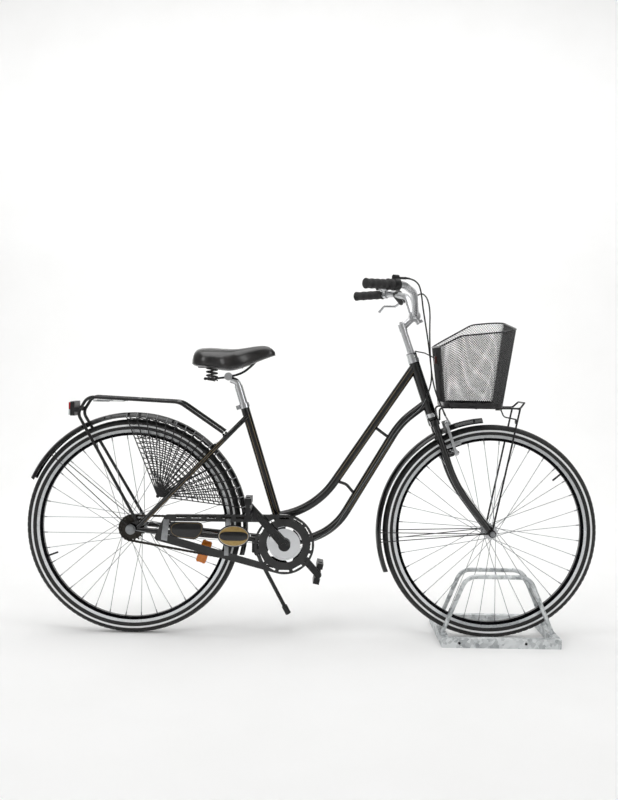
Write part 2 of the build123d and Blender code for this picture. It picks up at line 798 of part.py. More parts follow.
guard_apex = Vector(-1080, -38, 452)
guard_sheet = 1.2


def make_skirt_guard():
    """Thin conical fan from the fender's edge down to a point near the hub."""
    apex = guard_apex - rear_hub
    low = math.hypot(apex.X, apex.Z)
    high = fender_radius - fender_depth + 2
    side = -fender_width / 2 - 0.4
    outer = [(low, apex.Y), (high, side)]
    inner = [(high, side - guard_sheet), (low, apex.Y - guard_sheet)]
    cone = turned(make_face(Polyline(*outer, *inner, close=True)))
    fan = [apex]
    for angle, far in ((11, 1.1), (52, 2.0), (94, 1.1)):
        fan.append(apex + (on_fender(angle, high) - apex) * far)
    prism = extrude(Plane.XZ * make_face(Polyline(*[(p.X, p.Z) for p in fan], close=True)), amount=60)
    return Pos(rear_hub) * (cone & prism)


rack_leg_foot = Vector(-1141, -rear_drop_gap / 2 - drop_plate - 5.3, 373)
rack_rail_points = [
    rack_foot,
    (-1012, -52, 757),
    (-1308, -42, 770),
    (-1340, -42, 716),
    rack_leg_foot,
]
rack_rail_bends = [60.0, 34.0, 30.0]
clip_pivot = Vector(-1190, 0, 762)
clip_tube = 3.0
spring_side = 33.0
spring_radius = 4.0
tail_bar = Vector(-1290, 0, 766)


def make_rear_rack():
    rail = rod(rack_rail_points, rear_rack_tube, rack_rail_bends)
    rack = rail + flip(rail) + cross_bar(clip_pivot.X, clip_pivot.Z, 46, clip_tube)
    rack += cross_bar(tail_bar.X, tail_bar.Z, 42.5, 4.0)
    for x, z, half in ((-1150, 763, 47), (-1020, 757, 52)):
        rack += cross_bar(x, z, half, 4.0)
    return rack


def make_rack_clip():
    """Sprung wire bail that holds luggage; it turns on the rack's own cross tube."""
    barrel = Pos(clip_pivot) * ring(5.0, clip_tube + running, -36, 36)
    leg = rod([(-1194, -24, 763), (-1262, -24, 766), (-1262, 24, 766), (-1194, 24, 763)], 2.4, [12.0, 12.0])
    return barrel + leg


def make_clip_springs():
    """Outer shape of the two coil springs of the luggage clip, with their hooks."""
    low = tail_bar.Z - 4.0 - seat_gap - spring_radius
    hook_low = clip_pivot.Z - 5.0 - seat_gap - 1.0
    coil = bar((tail_bar.X - 2, -spring_side, low), (-1240, -spring_side, low), spring_radius)
    coil += bar((-1241, -spring_side, low), (clip_pivot.X, -spring_side, hook_low), 1.0)
    return both(coil)


light_centre = Vector(-1357, 0, 731)


def make_light_housing():
    """Lamp body with the two ears that hold it to the rack's rails."""
    body = Pos(light_centre) * Box(14, 86, 46)
    body = fillet(body.edges().filter_by(Axis.X), 4)
    for side in (-1, 1):
        body += Pos(-1342, side * 42, 728) * Box(16, 7, 14)
    tube = rod(rack_rail_points, rear_rack_tube + contact, rack_rail_bends)
    kept = Pos(light_centre + Vector(8, 0, 0)) * Box(30, 100, 60)
    body = (body - tube - flip(tube)) & kept
    return body.solids().sort_by(SortBy.VOLUME)[-1]


def make_light_lens():
    return Pos(light_centre + Vector(-9.6, 0, 0)) * Box(5, 80, 40)


# ------------------------------------------------------------------ chain guard
guard_face = 66.5
guard_plate = 1.5


def make_chain_guard():
    centre = Pos(bracket.X, bracket.Z)
    outer = make_hull(
        [
            *(centre * Circle(96)).edges(),
            *(Pos(-1042, 384) * Circle(14)).edges(),
            *(Pos(-1072, 324) * Circle(12)).edges(),
        ]
    )
    window = make_face(Polyline((-1032, 376), (-735, 377), (-748, 250), (-1058, 336), close=True))
    disc = centre * (Circle(96) - Circle(58))
    sheet = outer - window + disc - centre * Circle(58)
    for turn in range(0, 360, 30):
        arc = centre * Rot(0, 0, turn) * Pos(85, 0) * Rot(0, 0, 90) * SlotOverall(34, 6)
        sheet -= arc
    for x in range(-1000, -760, 48):
        sheet -= Pos(x, 390) * SlotOverall(34, 6)
    guard = Pos(0, -guard_face, 0) * extrude(Plane.XZ * sheet, amount=guard_plate)
    lip = outer - offset(outer, amount=-guard_plate, kind=Kind.INTERSECTION)
    lip = Pos(0, -guard_face + 12, 0) * extrude(Plane.XZ * lip, amount=12.5)
    lip -= Pos(-1100, -60, 340) * Box(160, 60, 400)
    boss = Pos(-1050, 0, 341) * ring(6, 0, -guard_face - 0.5, -64.4)
    return guard + lip + boss


def make_guard_strap():
    strap = plate([(-1056, 382), (-1038, 382), (-1044, 312), (-1064, 316)], -guard_face - 3.1, -guard_face - 1.6)
    for z in (370, 325):
        strap += Pos(-1050, 0, z) * ring(4, 0, -guard_face - 4.6, -guard_face - 3)
    return strap


def make_guard_tongue():
    outline = [(-1036, 374), (-929, 374), (-934, 340), (-956, 315), (-1036, 326)]
    return plate(outline, -guard_face + 0.3, -guard_face + 1.8)


badge_centre = Vector(-831, 0, 331)


def make_guard_badge():
    face = Plane(origin=badge_centre - Vector(0, guard_face + 1.9, 0), x_dir=(1, 0, 0), z_dir=(0, -1, 0))
    badge = extrude(face * Ellipse(51.5, 36), amount=1.4)
    return badge + extrude(face * (Ellipse(51.5, 36) - Ellipse(47, 31.5)), amount=2.0)


def make_badge_clips():
    clips = []
    for x, low, high in ((-849, 360, 386), (-854, 268, 301)):
        outline = [(x - 7, low), (x + 7, low), (x + 7, high), (x - 7, high)]
        clips.append(plate(outline, -guard_face - 1.85, -guard_face - 1.52))
    return Compound(children=clips)


def make_guard_trim():
    return Compound(children=[make_guard_strap(), make_guard_tongue(), make_guard_badge(), make_badge_clips()])


# ------------------------------------------------------------------ drive
def pitch_radius(teeth):
    return chain_pitch / (2 * math.sin(math.pi / teeth))


ring_radius = pitch_radius(ring_teeth)
sprocket_radius = pitch_radius(sprocket_teeth)
chain_slope = math.atan2(bracket.Z - rear_hub.Z, bracket.X - rear_hub.X)
chain_wrap = math.asin((ring_radius - sprocket_radius) / centre_distance())
span = math.sqrt(centre_distance() ** 2 - (ring_radius - sprocket_radius) ** 2)
ring_start = chain_slope + math.pi / 2 + chain_wrap
sprocket_start = chain_slope - math.pi / 2 - chain_wrap


def chain_point(links):
    """Place of a roller, counted in links from where the top run meets the chainring."""
    ring_links = (math.pi + 2 * chain_wrap) / (2 * math.pi) * ring_teeth
    run_links = span / chain_pitch
    hub_links = (math.pi - 2 * chain_wrap) / (2 * math.pi) * sprocket_teeth
    total = ring_links + 2 * run_links + hub_links
    place = links * total / chain_links
    if place < ring_links:
        turn = ring_start - 2 * math.pi * place / ring_teeth
        return bracket + Vector(math.cos(turn), 0, math.sin(turn)) * ring_radius
    place -= ring_links
    low = Vector(math.cos(sprocket_start), 0, math.sin(sprocket_start))
    high = Vector(math.cos(ring_start), 0, math.sin(ring_start))
    if place < run_links:
        start, stop = bracket + low * ring_radius, rear_hub + low * sprocket_radius
        return start + (stop - start) * (place / run_links)
    place -= run_links
    if place < hub_links:
        turn = sprocket_start - 2 * math.pi * place / sprocket_teeth
        return rear_hub + Vector(math.cos(turn), 0, math.sin(turn)) * sprocket_radius
    place -= hub_links
    start, stop = rear_hub + high * sprocket_radius, bracket + high * ring_radius
    return start + (stop - start) * (place / run_links)


def first_sprocket_turn():
    """Turn of one roller that sits on the sprocket, which its gaps start from."""
    for i in range(chain_links):
        reach = chain_point(i) - rear_hub
        if abs(reach.length - sprocket_radius) < 0.2 and reach.X < -sprocket_radius / 2:
            return math.degrees(math.atan2(reach.Z, reach.X))
    return 0.0


def toothed(teeth, radius, start, sheet):
    """Toothed disc on the Z axis with its first gap at the start angle."""
    disc = Circle(radius + 3.2)
    for i in range(teeth):
        gap = Pos(radius, 0) * Circle(roller_radius + 0.25) + Pos(radius + 3, 0) * Circle(roller_radius + 1.5)
        disc -= Rot(0, 0, start + 360 / teeth * i) * gap
    return extrude(disc, amount=sheet / 2, both=True)


def on_chain_line(blank, centre):
    """A shape made on the Z axis, stood up on the chain line with its front to the right."""
    place = Plane(origin=centre - Vector(0, chain_line, 0), x_dir=(1, 0, 0), z_dir=(0, -1, 0))
    return place * blank


def make_chainring():
    disc = toothed(ring_teeth, ring_radius, math.degrees(ring_start), 2.0)
    for i in range(5):
        disc -= Rot(0, 0, 72 * i) * Pos(50, 0) * Cylinder(13, 6)
    disc -= Cylinder(crank_boss + contact, 6)
    return on_chain_line(disc, bracket)


def make_sprocket():
    disc = toothed(sprocket_teeth, sprocket_radius, first_sprocket_turn(), 2.0)
    disc -= Cylinder(rear_axle_radius + running, 6)
    return on_chain_line(disc, rear_hub) + Pos(rear_hub) * make_driver()


def make_driver():
    driver = ring(17, 0, -56.4, -40.4)
    return driver - ring(rear_axle_radius + running, 0, -60, -30)


def make_chain():
    """Roller chain: side plates as two bands, with every roller between them."""
    outer = make_hull(
        [
            *(Pos(bracket.X, bracket.Z) * Circle(ring_radius + 4)).edges(),
            *(Pos(rear_hub.X, rear_hub.Z) * Circle(sprocket_radius + 4)).edges(),
        ]
    )
    inner = make_hull(
        [
            *(Pos(bracket.X, bracket.Z) * Circle(ring_radius - 4)).edges(),
            *(Pos(rear_hub.X, rear_hub.Z) * Circle(sprocket_radius - 4)).edges(),
        ]
    )
    band = Plane.XZ * (outer - inner)
    chain = Pos(0, -chain_line - 2.9, 0) * extrude(band, amount=1.3)
    chain += Pos(0, -chain_line + 4.2, 0) * extrude(band, amount=1.3)
    rollers = [Pos(chain_point(i)) * ring(roller_radius, 0, -3, 3) for i in range(chain_links)]
    return chain + [Pos(0, -chain_line, 0) * roller for roller in rollers]


crank_in = 72.0
crank_out = 84.0
pedal_reach = Vector(
    -crank_length * math.cos(math.radians(crank_rise)), 0, crank_length * math.sin(math.radians(crank_rise))
)


def make_crank(side):
    """Crank with its boss; side is -1 on the right and 1 on the left."""
    low, high = sorted((side * crank_in, side * crank_out))
    end = pedal_reach * (-side)
    arm = make_hull([*Circle(14).edges(), *(Pos(end.X, end.Z) * Circle(11)).edges()])
    crank = Pos(0, high, 0) * extrude(Plane.XZ * arm, amount=high - low)
    boss = sorted((side * 40, side * crank_out))
    crank += ring(crank_boss, 0, *boss)
    crank -= ring(crank_axle_radius + contact, 0, -100, 100)
    return Pos(bracket) * crank


def make_crank_axle():
    return Pos(bracket) * ring(crank_axle_radius, 0, -crank_out - 1, crank_out + 1)


def make_crank_disc():
    disc = ring(51, crank_boss + contact, -guard_face + 1, -guard_face + 3)
    disc += ring(51, 46, -guard_face - 0.5, -guard_face + 1.5)
    return Pos(bracket) * disc


spindle_radius = 5.0
pedal_from = 88.0
pedal_to = 180.0


def make_spindles():
    spindles = []
    for side in (-1, 1):
        ends = sorted((side * (crank_out + contact), side * (pedal_to - 6)))
        collar = sorted((side * (crank_out + contact), side * (pedal_from - 0.6)))
        spindle = ring(spindle_radius, 0, *ends) + ring(8.0, 0, *collar)
        spindles.append(Pos(bracket + pedal_reach * (-side)) * spindle)
    return Compound(children=spindles)


def make_pedal(side, lean):
    """Pedal with rubber treads on both sides of its barrel, standing on edge."""
    width = pedal_to - pedal_from
    low, high = sorted((side * pedal_from, side * pedal_to))
    body = ring(10, 0, low, high)
    body += Pos(0, (low + high) / 2, 26) * Box(21, width, 19)
    body += Pos(0, (low + high) / 2, -26) * Box(21, width, 19)
    for y in (low + 2, high - 2):
        body += Pos(0, y, 0) * Box(12, 4, 66)
    shaft = sorted((side * (pedal_from - 1), side * (pedal_to - 5.5)))
    body -= ring(spindle_radius + running, 0, *shaft)
    return Pos(bracket + pedal_reach * (-side)) * Rot(0, lean, 0) * body


def make_pedal_reflectors(side, lean):
    middle = side * (pedal_from + pedal_to) / 2
    blank = Pos(0, middle, 36.9) * Box(12, 50, 2.6) + Pos(0, middle, -36.9) * Box(12, 50, 2.6)
    return Pos(bracket + pedal_reach * (-side)) * Rot(0, lean, 0) * blank


# ------------------------------------------------------------------ rear hub fittings, kickstand
def make_gear_cap():
    """Cap over the right end of the rear axle, where the gear wire goes in."""
    inner = -rear_nut_face - 10.5
    cap = ring(13, 0, -92, inner) + ring(16, 0, inner - 3, inner)
    return Pos(rear_hub) * (cap - ring(rear_axle_radius + 0.1, 0, -84.5, inner + 1))


coaster_side = 49.8
coaster_sheet = 2.5


def make_coaster_arm():
    """Brake arm of the hub, which passes inside and below the left chain stay."""
    outline = [(-10, -12), (-12, 8), (0, 14), (12, 6), (40, -20), (150, -30), (150, -42), (30, -32)]
    arm = plate(outline, 0, coaster_sheet)
    arm = Pos(-wheelbase, coaster_side, wheel_radius) * arm
    return arm - Pos(rear_hub) * ring(rear_axle_radius + 0.1, 0, coaster_side - 1, coaster_side + 5)


def make_coaster_strap():
    along = stay_end - stay_root
    middle = stay_root + along * 0.73
    band = Cylinder(stay_tube + 1.5, 12) - Cylinder(stay_tube + contact, 14)
    tab_y = coaster_side + coaster_sheet + contact + 1
    tab = Pos(middle.X, tab_y, middle.Z - 17) * Box(12, 2, 18)
    tube = bar(stay_root, stay_end, stay_tube + contact)
    return Plane(origin=middle, z_dir=along) * band + (tab - tube)


kick_pivot = Vector(-759, 24, 262)
kick_knee = Vector(-748, 42, 232)
kick_foot = Vector(-657, 76, 55)


def make_kickstand_bracket():
    block = Pos(-760, 9.7, 290) * Box(30, 39.4, 44)
    block += Pos(kick_pivot) * ring(9, 0, -8, 6)
    for side in (-1, 1):
        along = stay_end - stay_root
        start = Vector(stay_root.X, side * stay_root.Y, stay_root.Z)
        way = Vector(along.X, side * along.Y, along.Z)
        block -= bar(start, start + way * 0.5, stay_tube + contact)
    block += Pos(kick_pivot) * ring(5.0, 0, 5, 26)
    return block


def make_kickstand_leg():
    hub_ring = Pos(kick_pivot) * ring(11, 0, 6.3, 24)
    leg = bar(kick_pivot + Vector(0, 14, 0), kick_knee, 6.5) + bar(kick_knee, kick_foot, 6.5)
    leg += Pos(kick_knee) * Sphere(6.5)
    leg += hub_ring
    return leg - Pos(kick_pivot) * ring(5.0 + running, 0, 0, 40)


def make_kickstand_foot():
    along = (kick_foot - kick_knee).normalized()
    cap = bar(kick_foot - along * 24, kick_foot + along * 6, 9.5)
    return cap - bar(kick_foot - along * 30, kick_foot + along * 0.02, 6.5 + contact)


def make_wheel_reflector():
    turn = math.radians(-19)
    inner = Vector(math.cos(turn), 0, math.sin(turn))
    place = Plane(origin=rear_hub + inner * 243 + Vector(0, -9.9, 0), x_dir=inner, z_dir=(0, -1, 0))
    return place * extrude(RectangleRounded(34, 78, 10), amount=5)


# ------------------------------------------------------------------ saddle
post_top = seat_top + seat_up * 62
rail_clamp = Vector(-858, 0, 842)
post_neck = 11.0


def make_seat_post():
    post = bar(bracket + seat_up * 330, post_top, post_radius)
    return post + make_post_neck(post_neck)


def make_saddle_clamp():
    body = Pos(rail_clamp) * ring(13, 0, -27, 27)
    body += Pos(rail_clamp) * ring(6, 0, -31, 31)
    for rail in make_rail_tubes(3.5 + contact):
        body -= rail
    return body - bar(post_top, post_top + seat_up * 12, 11.2) - make_post_neck(post_neck + contact)


def make_post_neck(radius):
    return rod([post_top - seat_up * 6, post_top + seat_up * 12, rail_clamp - Vector(-6, 0, 10)], radius, [16.0])


rail_points = [(-925, -22, 834), (-885, -22, 836), (-835, -22, 846), (-800, -18, 862), (-769, -6, 893)]


def make_rail_tubes(radius):
    rail = rod(rail_points, radius, [60.0, 60.0, 40.0])
    return [rail, flip(rail)]


def make_saddle_rails():
    rear_bar = cross_bar(-925, 834, 62, 3.5)
    rails = make_rail_tubes(3.5)
    return rails[0] + rails[1] + rear_bar


spring_low = 829.0
spring_high = 868.0


def make_saddle_springs():
    """Outer shape of the two coil springs under the back of the saddle."""
    coil = bar((-913, -50, spring_low - 4), (-913, -50, spring_high), 16.0)
    coil -= bar((-913, -50, spring_low - 8), (-913, -50, spring_high + 4), 9.0)
    coil -= Pos(-925, -50, 834) * Rot(90, 0, 0) * Cylinder(3.5 + seat_gap, 60)
    return both(coil)


def saddle_section(x, half, low, high):
    place = Plane(origin=(x, 0, 0), x_dir=(0, 1, 0), z_dir=(1, 0, 0))
    middle = (low + high) / 2
    return place * Pos(0, middle) * Ellipse(half, (high - low) / 2)


def make_saddle():
    """Plain closed body of the padded cover."""
    stations = (
        (-972, 55, 880, 905),
        (-945, 92, 874, 930),
        (-905, 102, 872, 934),
        (-862, 84, 873, 932),
        (-815, 48, 880, 934),
        (-765, 30, 900, 942),
        (-722, 22, 912, 940),
        (-706, 14, 914, 932),
    )
    body = loft([saddle_section(*station) for station in stations], ruled=True)
    return body


def make_saddle_base():
    """Moulded base under the cover, with its rear bumper."""
    outline = [(-960, 60), (-925, 88), (-880, 82), (-835, 48), (-812, 36)]
    loop = outline + [(x, -y) for x, y in reversed(outline)]
    base = extrude(Pos(0, 0, spring_high + seat_gap) * make_face(Polyline(*loop, close=True)), amount=3)
    return base


# ------------------------------------------------------------------ everything
front_flange = (34.0, 22.0, 3.0)
rear_flange = (27.0, 36.0, 3.0)
front_valve = 39.7
rear_valve = 200.0
pedal_lean = 12.0
# radius, half length, start of the cones, gap between the drop-outs, face of the nuts, nut across flats
front_axle_look = (front_axle_radius, 74, 42, front_drop_gap, front_nut_face, 15)
rear_axle_look = (rear_axle_radius, 84, 57, rear_drop_gap, rear_nut_face, 17)


def wheel_parts(name, place, flange, body, half_width, axle_radius, valve):
    flange_y, flange_radius, sheet = flange
    return {
        name + "_tyre": place * make_tyre(),
        name + "_inner_tube": place * make_inner_tube(valve),
        name + "_rim": place * make_rim(valve),
        name + "_spokes": place * Rot(0, -valve - 5, 0) * make_spokes(flange_y, flange_radius - 4, sheet),
        name + "_hub_shell": place * make_hub(*flange, body, half_width, axle_radius + running),
    }


def group(*shapes):
    """Several loose pieces that share one node."""
    return Compound(children=list(shapes))


parts = {
    "stand_base": make_stand_base(),
    "stand_hoops": make_stand_hoops(),
    "fork": make_fork(),
    "headset_nut_and_bolts": group(make_headset_nut(), make_stem_bolts()),
    "stem": make_stem(),
    "handlebar": make_handlebar(),
    "left_grip": make_grip(grip_length, 1),
    "right_grip": make_grip(short_grip, -1),
    "shifter_sleeve": make_shifter_sleeve(),
    "shifter_housing": make_shifter_housing(),
    "brake_lever_bracket": make_lever_bracket(),
    "brake_lever": make_brake_lever(),
    "bell": group(make_bell_base(), make_bell_dome()),
    "bell_lever": make_bell_lever(),
    "front_brake_cable": rod(front_cable_points, cable_radius),
    "gear_cable": rod(gear_cable_points, cable_radius),
    "gear_wire": group(rod(gear_wire_points, wire_radius), make_gear_cap()),
    "front_fender": group(make_front_fender(), make_front_stays()),
    "front_rack": group(make_front_rack(), make_lamp_bracket()),
    "basket": make_basket(),
    "basket_strut": make_basket_strut(),
    "left_brake_arm": make_brake_arm(),
    "right_brake_arm": flip(make_brake_arm()),
    "brake_noodle": make_noodle(),
    "front_axle": Pos(hub) * make_axle_set(*front_axle_look),
    "frame": make_frame(),
    "bearing_cups": group(make_headset_cups(), make_bracket_cups()),
    "seat_clamp": group(make_seat_clamp(), make_clamp_bolt()),
    "rear_fender": group(make_rear_fender(), make_rear_fender_stays()),
    "skirt_guards": both(make_skirt_guard()),
    "rear_rack": make_rear_rack(),
    "rack_clip": make_rack_clip(),
    "rack_clip_springs": make_clip_springs(),
    "tail_light": group(make_light_housing(), make_light_lens()),
    "chain_guard": make_chain_guard(),
    "chain_guard_trim": make_guard_trim(),
    "chain": make_chain(),
    "rear_axle": Pos(rear_hub) * make_axle_set(*rear_axle_look),
    "coaster_arm": group(make_coaster_arm(), make_coaster_strap()),
    "rear_sprocket": make_sprocket(),
    "cranks": group(make_crank(-1), make_crank(1), make_crank_axle()),
    "chainring": group(make_chainring(), make_crank_disc()),
    "pedal_spindles": make_spindles(),
    "right_pedal": group(make_pedal(-1, 0), make_pedal_reflectors(-1, 0)),
    "left_pedal": group(make_pedal(1, pedal_lean), make_pedal_reflectors(1, pedal_lean)),
    "kickstand_bracket": make_kickstand_bracket(),
    "kickstand_leg": group(make_kickstand_leg(), make_kickstand_foot()),
    "seat_post": group(make_seat_post(), make_saddle_clamp()),
    "saddle_frame": group(make_saddle_rails(), make_saddle_springs(), make_saddle_base()),
    "saddle": make_saddle(),
}
parts.update(wheel_parts("front", Pos(hub), front_flange, 13.0, 40.0, front_axle_radius, front_valve))
parts.update(wheel_parts("rear", Pos(rear_hub), rear_flange, 30.0, 40.0, rear_axle_radius, rear_valve))
parts["rear_spokes"] = group(parts["rear_spokes"], make_wheel_reflector())

os.makedirs("parts", exist_ok=True)
for name, shape in parts.items():
    export_step(shape, f"parts/{name}.step")
print(len(parts), "nodes")
print("cords:", cable_radius, "mm brake and gear cable,", wire_radius, "mm gear wire")
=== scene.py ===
import math
import bpy
from mathutils import Matrix, Vector


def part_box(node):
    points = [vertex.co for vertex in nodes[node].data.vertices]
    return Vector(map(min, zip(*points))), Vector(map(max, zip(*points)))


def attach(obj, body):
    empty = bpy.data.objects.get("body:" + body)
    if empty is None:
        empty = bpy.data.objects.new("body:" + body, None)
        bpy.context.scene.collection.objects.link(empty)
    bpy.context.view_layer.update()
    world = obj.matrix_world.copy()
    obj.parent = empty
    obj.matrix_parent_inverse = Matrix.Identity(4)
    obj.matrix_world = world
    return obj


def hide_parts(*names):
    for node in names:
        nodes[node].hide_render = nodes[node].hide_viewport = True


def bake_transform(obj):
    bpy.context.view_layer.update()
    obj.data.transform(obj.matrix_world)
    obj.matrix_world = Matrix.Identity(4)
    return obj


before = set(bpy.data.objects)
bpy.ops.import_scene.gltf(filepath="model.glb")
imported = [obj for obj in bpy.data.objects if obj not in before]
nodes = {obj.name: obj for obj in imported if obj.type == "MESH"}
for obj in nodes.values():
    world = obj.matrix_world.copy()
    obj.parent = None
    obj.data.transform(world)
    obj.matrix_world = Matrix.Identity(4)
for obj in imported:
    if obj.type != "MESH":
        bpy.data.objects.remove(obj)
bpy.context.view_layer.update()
print("frame loaded:", len(nodes), "nodes")


def middleOf(node):
    low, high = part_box(node)
    return (low + high) / 2


frontHub = middleOf("front_hub_shell")
rearHub = middleOf("rear_hub_shell")
crankCentre = middleOf("cranks")


# small tools for the bench
def mm(*values):
    return Vector(values) / 1000


def clearSelection():
    if bpy.context.object and bpy.context.object.mode != "OBJECT":
        bpy.ops.object.mode_set(mode="OBJECT")
    bpy.ops.object.select_all(action="DESELECT")


def activate(piece):
    clearSelection()
    piece.select_set(True)
    bpy.context.view_layer.objects.active = piece
    return piece


def settle(piece):
    # leaves the object at the origin, with its place in the mesh
    piece.data.transform(piece.matrix_world)
    piece.matrix_world = Matrix.Identity(4)
    return piece


def weld(piece, gap=1e-5):
    activate(piece)
    bpy.ops.object.mode_set(mode="EDIT")
    bpy.ops.mesh.select_all(action="SELECT")
    bpy.ops.mesh.remove_doubles(threshold=gap)
    bpy.ops.mesh.normals_make_consistent(inside=False)
    bpy.ops.object.mode_set(mode="OBJECT")
    return piece


def applyModifier(piece, kind, **settings):
    activate(piece)
    modifier = piece.modifiers.new(kind.lower(), kind)
    for name, value in settings.items():
        setattr(modifier, name, value)
    bpy.ops.object.modifier_apply(modifier=modifier.name)
    return piece


def joinAll(pieces, name):
    clearSelection()
    for piece in pieces:
        piece.select_set(True)
    bpy.context.view_layer.objects.active = pieces[0]
    if len(pieces) > 1:
        bpy.ops.object.join()
    pieces[0].name = name
    return pieces[0]


def copyTo(piece, place):
    twin = piece.copy()
    twin.data = piece.data.copy()
    bpy.context.scene.collection.objects.link(twin)
    twin.data.transform(place)
    return twin


def mirrored(piece):
    twin = copyTo(piece, Matrix.Scale(-1, 4, (0, 1, 0)))
    return weld(twin)


def gridPiece(across, along, place):
    # a flat grid whose points are moved on to the real surface; u and v run from 0 to 1
    clearSelection()
    bpy.ops.mesh.primitive_grid_add(x_subdivisions=across, y_subdivisions=along, size=1)
    piece = bpy.context.object
    for vertex in piece.data.vertices:
        vertex.co = place(vertex.co.x + 0.5, vertex.co.y + 0.5)
    return weld(piece)


def closeEnds(piece):
    activate(piece)
    bpy.ops.object.mode_set(mode="EDIT")
    bpy.ops.mesh.select_mode(type="EDGE")
    bpy.ops.mesh.select_all(action="DESELECT")
    bpy.ops.mesh.select_non_manifold()
    bpy.ops.mesh.edge_face_add()
    bpy.ops.mesh.select_all(action="SELECT")
    bpy.ops.mesh.normals_make_consistent(inside=False)
    bpy.ops.object.mode_set(mode="OBJECT")
    return piece


def pickFaces(piece, wanted):
    # back in edit mode with only the wanted faces selected
    activate(piece)
    for polygon in piece.data.polygons:
        polygon.select = bool(wanted(polygon))
    bpy.ops.object.mode_set(mode="EDIT")
    bpy.ops.mesh.select_mode(type="FACE")
    bpy.ops.object.mode_set(mode="OBJECT")
    for polygon in piece.data.polygons:
        polygon.select = bool(wanted(polygon))
    bpy.ops.object.mode_set(mode="EDIT")


def bentWire(routes, radius, closed=False, sides=3, smooth=True, finer=6):
    # round wire along one or more routes, on smooth curves or straight from point to point
    curve = bpy.data.curves.new("wire", "CURVE")
    curve.dimensions = "3D"
    curve.bevel_depth = radius
    curve.bevel_resolution = sides
    curve.use_fill_caps = not closed
    for points in routes:
        spline = curve.splines.new("NURBS" if smooth else "POLY")
        spline.points.add(len(points) - 1)
        for point, place in zip(spline.points, points):
            point.co = (*place, 1)
        if smooth:
            spline.order_u = 3
            spline.use_endpoint_u = not closed
            spline.resolution_u = finer
        spline.use_cyclic_u = closed
    piece = bpy.data.objects.new("wire", curve)
    bpy.context.scene.collection.objects.link(piece)
    activate(piece)
    bpy.ops.object.convert(target="MESH")
    return bpy.context.object


def roundBar(start, end, radius, sides=24, ease=0.0):
    # turned bar between two points, with its end edges broken
    start, end = Vector(start), Vector(end)
    clearSelection()
    bpy.ops.mesh.primitive_cylinder_add(vertices=sides, radius=radius, depth=(end - start).length)
    piece = bpy.context.object
    if ease:
        applyModifier(piece, "BEVEL", width=ease, segments=2, limit_method="ANGLE",
            angle_limit=math.radians(50))
    turn = Vector((0, 0, 1)).rotation_difference(end - start)
    piece.data.transform(Matrix.Translation((start + end) / 2) @ turn.to_matrix().to_4x4())
    return piece


def block(low, high, ease=0.0, segments=3):
    # moulded block between two corners
    low, high = Vector(low), Vector(high)
    clearSelection()
    bpy.ops.mesh.primitive_cube_add(size=1)
    piece = bpy.context.object
    piece.data.transform(Matrix.Translation((low + high) / 2) @ Matrix.Diagonal((*(high - low), 1)))
    if ease:
        applyModifier(piece, "BEVEL", width=ease, segments=segments, limit_method="ANGLE")
    return piece


def cutPlate(outline, low, high, ease=0.0):
    # flat plate cut to an outline in X and Z, between two Y values
    clearSelection()
    bpy.ops.mesh.primitive_circle_add(vertices=len(outline), radius=1, fill_type="NGON")
    piece = bpy.context.object
    for vertex, (x, z) in zip(piece.data.vertices, outline):
        vertex.co = (x, high, z)
    activate(piece)
    bpy.ops.object.mode_set(mode="EDIT")
    bpy.ops.mesh.select_all(action="SELECT")
    bpy.ops.mesh.extrude_region_move(TRANSFORM_OT_translate={"value": (0, low - high, 0)})
    bpy.ops.mesh.select_all(action="SELECT")
    bpy.ops.mesh.normals_make_consistent(inside=False)
    bpy.ops.object.mode_set(mode="OBJECT")
    if ease:
        applyModifier(piece, "BEVEL", width=ease, segments=2, limit_method="ANGLE",
            angle_limit=math.radians(40))
    return piece


def ovalOutline(centre, halfX, halfZ, count=64):
    turns = (2 * math.pi * i / count for i in range(count))
    return [(centre[0] + halfX * math.cos(t), centre[1] + halfZ * math.sin(t)) for t in turns]


def present(piece, name, body, finish, slotName, *stands, angle=35):
    # last step of every piece: name, finish, shading, and the body it rides on
    piece.name = name
    piece.data.name = name
    if finish:
        piece.data.materials.clear()
        piece.data.materials.append(finish)
    activate(piece)
    settle(piece)
    bpy.ops.object.shade_smooth_by_angle(angle=math.radians(angle))
    if body:
        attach(piece, body)
    if stands:
        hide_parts(*stands)
    return piece


# finishes
def toLinear(hexColour):
    values = [int(hexColour[i:i + 2], 16) / 255 for i in (0, 2, 4)]
    return (*(v / 12.92 if v <= 0.04045 else ((v + 0.055) / 1.055) ** 2.4 for v in values), 1)


def addNode(tree, kind, values=None, links=None, **settings):
    node = tree.nodes.new(kind)
    for name, value in settings.items():
        setattr(node, name, value)
    for socket, value in (values or {}).items():
        node.inputs[socket].default_value = value
    for socket, source in (links or {}).items():
        tree.links.new(source, node.inputs[socket])
    return node


def startFinish(name, shader):
    material = bpy.data.materials.new(name)
    material.use_nodes = True
    tree = material.node_tree
    tree.nodes.clear()
    surface = addNode(tree, "ShaderNodeBsdfPrincipled", shader)
    addNode(tree, "ShaderNodeOutputMaterial", None, {"Surface": surface.outputs["BSDF"]})
    where = addNode(tree, "ShaderNodeTexCoord").outputs["Object"]
    return material, tree, surface, where


